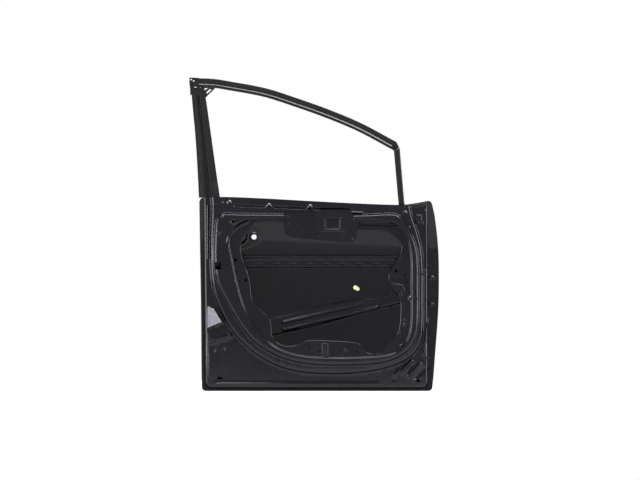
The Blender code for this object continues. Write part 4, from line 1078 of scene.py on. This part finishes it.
def buildStiffener():
    grid = stiffener["grid"]
    outline = roundedOutline(stiffener["outline"], stiffener["cornerRadius"], grid)
    web = roundedOutline(stiffener["web"], stiffener["webRadius"], grid)
    radius = stiffener["ridgeRadius"]
    ridge = divided(slot(*toLengths(stiffener["ridge"]), radius), grid)
    half = np.array((stiffener["slotHalf"], 0.0))
    centres = toLengths([(x, stiffener["slotHeight"]) for x in stiffener["slots"]])
    slots = [slot(centre - half, centre + half, stiffener["slotRadius"],
                  stiffener["slotPoints"]) for centre in centres]
    rim = stiffener["rim"]
    rims = [inset(counterclockwise(loop), -rim) for loop in slots]
    rise = stiffener["rise"]

    def depthAt(spots):
        depth = liningDepth(spots, stiffener)
        depth = depth + rise * lift(web, spots, rise)
        for loop in rims:
            depth = depth - stiffener["dip"] * lift(loop, spots, rim, stiffener["rimReach"])
        share = lift(ridge, spots, radius * stiffener["ridgeWall"], stiffener["ridgeReach"])
        return depth + stiffener["ridgeRise"] * share

    lines = runLines(web, rise)
    for loop in rims:
        lines += runLines(loop, rim, stiffener["rimShares"])
    lines += runLines(ridge, radius, stiffener["ridgeShares"])
    addPressing("skin_stiffener_look", "skin_stiffener", outline, slots, lines, stiffener, depthAt)


beltRails = {
    "thickness": 0.0010,
    "rise": 0.010,
    "fold": 0.012,
    "outer": [
        (0.265, 0.862), (0.815, 0.862), (0.815, 0.938), (0.646, 0.944), (0.456, 0.956),
        (0.265, 0.968),
    ],
    "spacing": 0.008,
    "grid": 0.012,
}


def buildBeltRail():
    outline = divided(toLengths(beltRails["outer"]), beltRails["spacing"])
    fold = inset(outline, beltRails["fold"])
    rise = beltRails["rise"]

    def depthAt(spots):
        return liningDepth(spots, beltRails) + rise * lift(fold, spots, rise / 2)

    addPressing("outer_belt_rail_look", "outer_belt_rail", outline, [], runLines(fold, rise / 2),
                beltRails, depthAt)


handlePlate = {
    "thickness": 0.0012,
    "clearance": 0.004,
    "outline": [
        (0.026, 0.730), (0.140, 0.7175), (0.205, 0.735), (0.240, 0.755), (0.252, 0.790),
        (0.240, 0.825), (0.205, 0.845), (0.150, 0.874), (0.026, 0.858),
    ],
    "spacing": 0.008,
    "grid": 0.009,
    "edgeRun": 0.006,
    "edgeDrop": 0.0007,
    "bossRadius": 0.020,
    "bossRise": 0.004,
    "bossRun": 0.005,
    "bossShares": (0.0, 0.3, 0.6, 1.0),
    "bossReach": 0.03,
    "scoopPoints": 48,
    "holePoints": 28,
    "bossPoints": 32,
}


def buildHandlePlate():
    outline = smoothLoop(handlePlate["outline"], handlePlate["spacing"])
    gap = handlePlate["clearance"]
    wide, high = (radius + gap for radius in skin["scoopRadii"])
    openings = [circle(skin["scoopCentre"], high, handlePlate["scoopPoints"], wide / high)]
    openings += [circle((x, z), radius + gap, handlePlate["holePoints"])
                 for x, z, radius in (skin["frontHole"], skin["rearHole"])]
    boss = circle(skin["frontHole"][:2], handlePlate["bossRadius"], handlePlate["bossPoints"])
    drop = handlePlate["edgeDrop"]
    edge = handlePlate["edgeRun"]
    run = handlePlate["bossRun"]
    lines = insets(outline, (edge / 2, edge)) + runLines(boss, run, handlePlate["bossShares"])

    def depthAt(spots):
        depth = liningDepth(spots, handlePlate)
        depth = depth - drop + drop * lift(outline, spots, edge)
        return depth + handlePlate["bossRise"] * lift(boss, spots, run, handlePlate["bossReach"])

    addPressing("outer_handle_reinforcement_look", "outer_handle_reinforcement", outline,
                openings, lines, handlePlate, depthAt)


cornerPlate = {
    "thickness": 0.0012,
    "offsets": ((1.180, 0.0148), (1.210, 0.0148), (1.252, 0.0138)),
    "outline": [
        (-0.0470, 1.515), (-0.0100, 1.515), (-0.0060, 1.548), (-0.0110, 1.571), (-0.0110, 1.6015),
        (-0.0505, 1.6030), (-0.0505, 1.5745), (-0.0480, 1.550),
    ],
    "holes": [
        ((-0.0425, 1.5930), 0.0030, 1.0), ((-0.032, 1.5860), 0.0030, 1.0),
        ((-0.0249, 1.5508), 0.0048, 1.0),
    ],
    "cornerRadius": 0.002,
    "spacing": 0.004,
    "grid": 0.003,
    "cornerSegments": 4,
    "holePoints": 20,
}


def buildCornerPlate():
    outline = roundedOutline(cornerPlate["outline"], cornerPlate["cornerRadius"],
                             cornerPlate["spacing"], cornerPlate["cornerSegments"])
    openings = [circle(toLengths([spot])[0], radius, cornerPlate["holePoints"], stretch)
                for spot, radius, stretch in cornerPlate["holes"]]
    heights, offsets = zip(*cornerPlate["offsets"])

    def depthAt(spots):
        return glassDepth(spots[:, 1]) + np.interp(spots[:, 1], heights, offsets)

    addPressing("frame_corner_tab_look", "frame_corner_tab", outline, openings, [], cornerPlate,
                depthAt, "frame_coat")


bracket = {
    "thickness": 0.0012,
    "emboss": 0.010,
    "bumpRise": 0.0012,
    "edge": 0.005,
    "run": 0.007,
    "outline": [
        (0.346, 0.915), (0.346, 0.836), (0.352, 0.803), (0.371, 0.788), (0.608, 0.760),
        (0.635, 0.764), (0.652, 0.785), (0.654, 0.836), (0.656, 0.872), (0.637, 0.900),
        (0.629, 0.921), (0.612, 0.929), (0.506, 0.929), (0.489, 0.921), (0.481, 0.915),
    ],
    "square": [(0.516, 0.826), (0.586, 0.826), (0.586, 0.896), (0.516, 0.896)],
    "bump": [
        (0.484, 0.846), (0.500, 0.814), (0.604, 0.814), (0.620, 0.846), (0.612, 0.914),
        (0.496, 0.914),
    ],
    "bosses": [
        (0.345, 0.700, 0.006, 0.003), (0.345, 0.668, 0.004, 0.002),
        (0.602, 0.610, 0.005, 0.002), (0.610, 0.690, 0.005, 0.003),
        (0.470, 0.618, 0.004, 0.002),
    ],
    "holes": [(0.402, 0.640, 0.0035), (0.560, 0.622, 0.0035)],
    "cornerRadius": 0.004,
    "squareRadius": 0.006,
    "bumpRadius": 0.005,
    "spacing": 0.007,
    "fineSpacing": 0.005,
    "grid": 0.012,
    "edgeDrop": 0.0004,
    "edgeShares": (0.3, 0.65, 1.0),
    "bossWall": 0.6,
    "bossShares": (1.0, 0.7, 0.4),
    "reach": 0.02,
    "bossPoints": 18,
    "holePoints": 16,
}


def buildBracketPlate():
    fine = bracket["fineSpacing"]
    outline = roundedOutline(bracket["outline"], bracket["cornerRadius"], bracket["spacing"])
    square = roundedOutline(bracket["square"], bracket["squareRadius"], fine)
    raised = roundedOutline(bracket["bump"], bracket["bumpRadius"], fine)
    run = bracket["run"]
    reach = bracket["reach"]
    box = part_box("belt_bracket_plate")
    flat = -box[0].y - body["origin"][1] - bracket["thickness"] / 2

    def depthAt(spots):
        depth = np.full(len(spots), flat)
        depth = depth - bracket["emboss"] * lift(square, spots, run, reach)
        depth = depth + bracket["bumpRise"] * lift(raised, spots, run, reach)
        edge = lift(outline, spots, bracket["edge"], reach)
        depth = depth - bracket["edgeDrop"] * (1 - edge)
        return withBosses(depth, spots, bracket["bosses"], bracket["bossWall"], -1)

    lines = runLines(square, run) + runLines(raised, run)
    lines += runLines(outline, bracket["edge"], bracket["edgeShares"])
    lines += bossRings(bracket["bosses"], bracket["bossShares"], bracket["bossPoints"])
    openings = [circle((x, z), radius, bracket["holePoints"])
                for x, z, radius in bracket["holes"]]
    addPressing("belt_bracket_plate_look", "belt_bracket_plate", outline, openings, lines,
                bracket, depthAt)


paintDab = {
    "centre": (0.618, 0.411),
    "drops": [(0.614, 0.414, 0.009), (0.623, 0.408, 0.008)],
    "lift": 0.0007,
    "sink": 0.0001,
    "mergeDistance": 0.00001,
    "rings": 6,
    "turns": 36,
}


# Two drops of marking paint run together on the skin
def buildPaintDab():
    bm = bmesh.new()
    middle = np.array(paintDab["centre"])
    turns = paintDab["turns"]
    rings = []
    for ring in range(paintDab["rings"] + 1):
        share = ring / paintDab["rings"]
        row = []
        for i in range(turns):
            angle = i / turns * 2 * math.pi
            reach = 0
            for x, z, radius in paintDab["drops"]:
                away = np.array((x, z)) - middle
                along = away[0] * math.cos(angle) + away[1] * math.sin(angle)
                rest = radius**2 - (away[0] ** 2 + away[1] ** 2 - along**2)
                if rest > 0:
                    reach = max(reach, along + math.sqrt(rest))
            x = paintDab["centre"][0] + reach * share * math.cos(angle)
            z = paintDab["centre"][1] + reach * share * math.sin(angle)
            lift = paintDab["lift"] * (1 - share**4)
            depth = skinDepth((x, z))[0] + skin["thickness"] / 2 + lift - paintDab["sink"]
            row.append(bm.verts.new(placed(x, depth, z)))
        rings.append(row)
    bmesh.ops.remove_doubles(bm, verts=rings[0], dist=paintDab["mergeDistance"])
    tip = next(vert for vert in rings[0] if vert.is_valid)
    for i in range(turns):
        j = (i + 1) % turns
        bm.faces.new((tip, rings[1][i], rings[1][j]))
        for near, far in zip(rings[1:], rings[2:]):
            bm.faces.new((near[i], far[i], far[j], near[j]))
    bmesh.ops.recalc_face_normals(bm, faces=bm.faces)
    return addPiece("paint_dab", bm, None, "body_coat")


def startMaterial(name):
    material = bpy.data.materials.new(name)
    material.use_nodes = True
    tree = material.node_tree
    shader = tree.nodes["Principled BSDF"]
    place = tree.nodes.new("ShaderNodeTexCoord")
    return material, tree, shader, place.outputs["Object"]


def noise(tree, vector, scale, detail=4.0, rough=0.5, stretch=(1.0, 1.0, 1.0)):
    mapping = tree.nodes.new("ShaderNodeMapping")
    mapping.inputs["Scale"].default_value = stretch
    tree.links.new(vector, mapping.inputs["Vector"])
    texture = tree.nodes.new("ShaderNodeTexNoise")
    texture.inputs["Scale"].default_value = scale
    texture.inputs["Detail"].default_value = detail
    texture.inputs["Roughness"].default_value = rough
    tree.links.new(mapping.outputs["Vector"], texture.inputs["Vector"])
    return texture.outputs["Fac"]


def spread(tree, factor, low, high, fromLow=0.3, fromHigh=0.7):
    node = tree.nodes.new("ShaderNodeMapRange")
    node.inputs["From Min"].default_value = fromLow
    node.inputs["From Max"].default_value = fromHigh
    node.inputs["To Min"].default_value = low
    node.inputs["To Max"].default_value = high
    tree.links.new(factor, node.inputs["Value"])
    return node.outputs["Result"]


def blendColours(tree, factor, first, second):
    node = tree.nodes.new("ShaderNodeMix")
    node.data_type = "RGBA"
    for socket, value in (("A", first), ("B", second)):
        target = next(item for item in node.inputs if item.name == socket and item.type == "RGBA")
        if isinstance(value, bpy.types.NodeSocket):
            tree.links.new(value, target)
        else:
            target.default_value = (*value, 1.0)
    tree.links.new(factor, node.inputs["Factor"])
    return next(item for item in node.outputs if item.type == "RGBA")


def addBumps(tree, shader, heights):
    normal = None
    for height, distance, strength in heights:
        node = tree.nodes.new("ShaderNodeBump")
        node.inputs["Distance"].default_value = distance
        node.inputs["Strength"].default_value = strength
        tree.links.new(height, node.inputs["Height"])
        if normal:
            tree.links.new(normal, node.inputs["Normal"])
        normal = node.outputs["Normal"]
    tree.links.new(normal, shader.inputs["Normal"])


# Patterns are scale, detail, roughness and stretch; bumps are height in metres and strength
finishes = {
    "body_coat": {
        "name": "black_body_coat", "dark": (0.0014, 0.0012, 0.0026),
        "light": (0.0034, 0.0031, 0.0058), "dust": (0.030, 0.030, 0.036), "streaks": 0.05,
        "roughness": (0.10, 0.21), "specular": 0.20, "metallic": 0.0,
        "patterns": {
            "cloud": (7.0, 5.0, 0.6), "grain": (90.0, 3.0, 0.6), "peel": (420.0, 2.0, 0.5),
            "wave": (22.0, 2.0, 0.5), "streak": (34.0, 3.0, 0.6, (1.0, 1.0, 0.08)),
        },
        "bumps": {"wave": (0.0012, 0.03), "peel": (0.0002, 0.02)},
    },
    "frame_coat": {
        "name": "black_frame_coat", "dark": (0.0014, 0.0015, 0.0016),
        "light": (0.0034, 0.0036, 0.0034), "dust": (0.030, 0.030, 0.034), "streaks": 0.05,
        "roughness": (0.11, 0.22), "specular": 0.14, "metallic": 0.0,
        "patterns": {
            "cloud": (9.0, 5.0, 0.6), "grain": (110.0, 3.0, 0.6), "peel": (460.0, 2.0, 0.5),
            "wave": (26.0, 2.0, 0.5), "streak": (40.0, 3.0, 0.6, (1.0, 1.0, 0.08)),
        },
        "bumps": {"wave": (0.0012, 0.03), "peel": (0.0002, 0.02)},
    },
    "weld_nut_steel": {
        "name": "zinc_plated_nut", "dark": (0.30, 0.29, 0.26), "light": (0.47, 0.46, 0.43),
        "roughness": (0.30, 0.46), "specular": 0.5, "metallic": 1.0,
        "patterns": {"cloud": (140.0, 4.0, 0.6), "grain": (500.0, 2.0, 0.5, (1.0, 0.12, 1.0))},
        "bumps": {"grain": (0.0001, 0.25)},
    },
    "mastic": {
        "name": "damping_mastic", "dark": (0.016, 0.016, 0.018), "light": (0.040, 0.039, 0.042),
        "roughness": (0.70, 0.92), "specular": 0.5, "metallic": 0.0,
        "patterns": {"cloud": (60.0, 5.0, 0.6), "grain": (260.0, 3.0, 0.7)},
        "bumps": {"cloud": (0.0015, 0.5), "grain": (0.0004, 0.5)},
    },
    "marking_paint": {
        "name": "marking_paint", "dark": (0.72, 0.70, 0.36), "light": (0.86, 0.85, 0.58),
        "roughness": (0.40, 0.55), "specular": 0.5, "metallic": 0.0,
        "patterns": {"cloud": (160.0, 4.0, 0.6), "grain": (160.0, 4.0, 0.6)},
        "bumps": {"cloud": (0.0004, 0.4)},
    },
}
streakRange = (0.62, 0.80)


def finishMaterial(looks):
    material, tree, shader, vector = startMaterial(looks["name"])
    patterns = {name: noise(tree, vector, *sizes) for name, sizes in looks["patterns"].items()}
    cloud = spread(tree, patterns["cloud"], 0.0, 1.0)
    colour = blendColours(tree, cloud, looks["dark"], looks["light"])
    if "streak" in patterns:
        faint = spread(tree, patterns["streak"], 0.0, looks["streaks"], *streakRange)
        colour = blendColours(tree, faint, colour, looks["dust"])
    tree.links.new(colour, shader.inputs["Base Color"])
    rough = spread(tree, patterns["grain"], *looks["roughness"])
    tree.links.new(rough, shader.inputs["Roughness"])
    shader.inputs["Metallic"].default_value = looks["metallic"]
    shader.inputs["Specular IOR Level"].default_value = looks["specular"]
    addBumps(tree, shader, [(patterns[name], *sizes) for name, sizes in looks["bumps"].items()])
    return material


# One for what the camera, a mirror image or glass shows, none for the light itself
def seenDirectly(tree):
    ray = tree.nodes.new("ShaderNodeLightPath")
    seen = ray.outputs["Is Camera Ray"]
    for kind in ("Is Glossy Ray", "Is Transmission Ray"):
        either = tree.nodes.new("ShaderNodeMath")
        either.operation = "MAXIMUM"
        tree.links.new(seen, either.inputs[0])
        tree.links.new(ray.outputs[kind], either.inputs[1])
        seen = either.outputs["Value"]
    return seen


studio = {
    "worldFill": 0.10,
    "lamps": [
        {"name": "patchLamp", "place": (-2.9, -2.7, -0.1), "size": (0.6, 0.9), "radiance": 36.0,
         "colour": (0.90, 0.88, 1.0)},
        {"name": "topLamp", "place": (-0.45, -0.9, 3.0), "size": (2.8, 0.8), "radiance": 34.0,
         "colour": (1.0, 0.99, 1.0)},
        {"name": "leftLamp", "place": (-3.5, -0.7, 0.35), "size": (0.75, 1.8), "radiance": 31.0,
         "colour": (0.97, 0.98, 1.0)},
        {"name": "rightLamp", "place": (2.6, -0.8, 0.35), "size": (0.75, 1.8), "radiance": 31.0,
         "colour": (1.0, 0.99, 0.97)},
        {"name": "cornerLamp", "place": (1.35, -0.9, 2.7), "size": (1.2, 0.8), "radiance": 36.0,
         "colour": (1.0, 1.0, 1.0)},
        {"name": "backLamp", "place": (0.7, 3.0, 1.7), "size": (1.6, 1.2), "radiance": 5.0,
         "colour": (1.0, 0.99, 0.98)},
    ],
    "middle": (-0.45, 0.0, 0.0),
    "floorHalf": 2.4,
    "floorGap": 0.0005,
    "floorDark": (0.52, 0.52, 0.523),
    "floorLight": (0.55, 0.55, 0.553),
    "floorRoughness": 0.8,
    "floorGlow": 0.80,
    "floorBump": (0.001, 0.1),
    "floorCells": 8,
    "cameraAway": 34.0,
    "fieldWidth": 2.56,
    "sensorWidth": 36.0,
    "clipEnd": 80.0,
    "target": (-0.4304, 0.0, 0.044),
}


def floorMaterial():
    material, tree, shader, vector = startMaterial("pale_floor")
    cloud = noise(tree, vector, 2.0, 4.0, 0.5)
    tone = spread(tree, cloud, 0.0, 1.0)
    colour = blendColours(tree, tone, studio["floorDark"], studio["floorLight"])
    tree.links.new(colour, shader.inputs["Base Color"])
    shader.inputs["Roughness"].default_value = studio["floorRoughness"]
    shader.inputs["Emission Color"].default_value = (1.0, 1.0, 1.0, 1.0)
    glow = spread(tree, seenDirectly(tree), 0.0, studio["floorGlow"], 0.0, 1.0)
    tree.links.new(glow, shader.inputs["Emission Strength"])
    addBumps(tree, shader, [(cloud, *studio["floorBump"])])
    return material


def buildFloor():
    bm = bmesh.new()
    cells = studio["floorCells"]
    bmesh.ops.create_grid(bm, x_segments=cells, y_segments=cells, size=studio["floorHalf"])
    floor = newObject("studio_floor", meshOf("studio_floor", bm))
    floor.location = (*studio["middle"][:2], cadBox[0][2] - studio["floorGap"])
    floor.data.materials.append(floorMaterial())


def buildWorld():
    world = bpy.data.worlds.new("studio_world")
    world.use_nodes = True
    tree = world.node_tree
    back = tree.nodes["Background"]
    back.inputs["Color"].default_value = (1.0, 1.0, 1.0, 1.0)
    level = spread(tree, seenDirectly(tree), studio["worldFill"], 1.0, 0.0, 1.0)
    tree.links.new(level, back.inputs["Strength"])
    bpy.context.scene.world = world


def buildLamps():
    for lamp in studio["lamps"]:
        light = bpy.data.lights.new(lamp["name"], "AREA")
        light.shape = "RECTANGLE"
        light.size, light.size_y = lamp["size"]
        light.energy = lamp["radiance"] * math.pi * lamp["size"][0] * lamp["size"][1]
        light.color = lamp["colour"]
        holder = newObject(lamp["name"], light)
        holder.location = lamp["place"]
        aim = Vector(studio["middle"]) - holder.location
        holder.rotation_euler = aim.to_track_quat("-Z", "Y").to_euler()


# A long lens from far away, as the photo has almost no perspective
def buildCamera():
    camera = bpy.data.cameras.new("photo_camera")
    camera.sensor_width = studio["sensorWidth"]
    camera.lens = studio["sensorWidth"] * studio["cameraAway"] / studio["fieldWidth"]
    camera.clip_end = studio["clipEnd"]
    holder = newObject("photo_camera", camera)
    holder.location = Vector(studio["target"]) - Vector((0.0, studio["cameraAway"], 0.0))
    holder.rotation_euler = (math.radians(90), 0.0, 0.0)
    bpy.context.scene.camera = holder
    bpy.context.scene.view_settings.view_transform = "Standard"


def setFinish(item, material):
    item.data.materials.clear()
    item.data.materials.append(material)


buildInnerPanel()
buildOuterPanel()
buildFrame()
buildBeam()
buildStiffener()
buildBeltRail()
buildHandlePlate()
buildCornerPlate()
buildBracketPlate()
dab = buildPaintDab()
print("pieces built")

materials = {slotName: finishMaterial(looks) for slotName, looks in finishes.items()}
frameNodes = ("corner_gusset", "frame_corner_tab", "pillar_foot")
for name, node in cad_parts.items():
    kind = "body_coat"
    if "_nut_" in name:
        kind = "weld_nut_steel"
    if "mastic" in name:
        kind = "mastic"
    if name in frameNodes:
        kind = "frame_coat"
    setFinish(node, materials[kind])
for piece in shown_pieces():
    setFinish(piece, materials[piece.get("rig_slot", "body_coat")])
setFinish(dab, materials["marking_paint"])
print("materials set")

buildFloor()
buildWorld()
buildLamps()
buildCamera()
print("studio set")
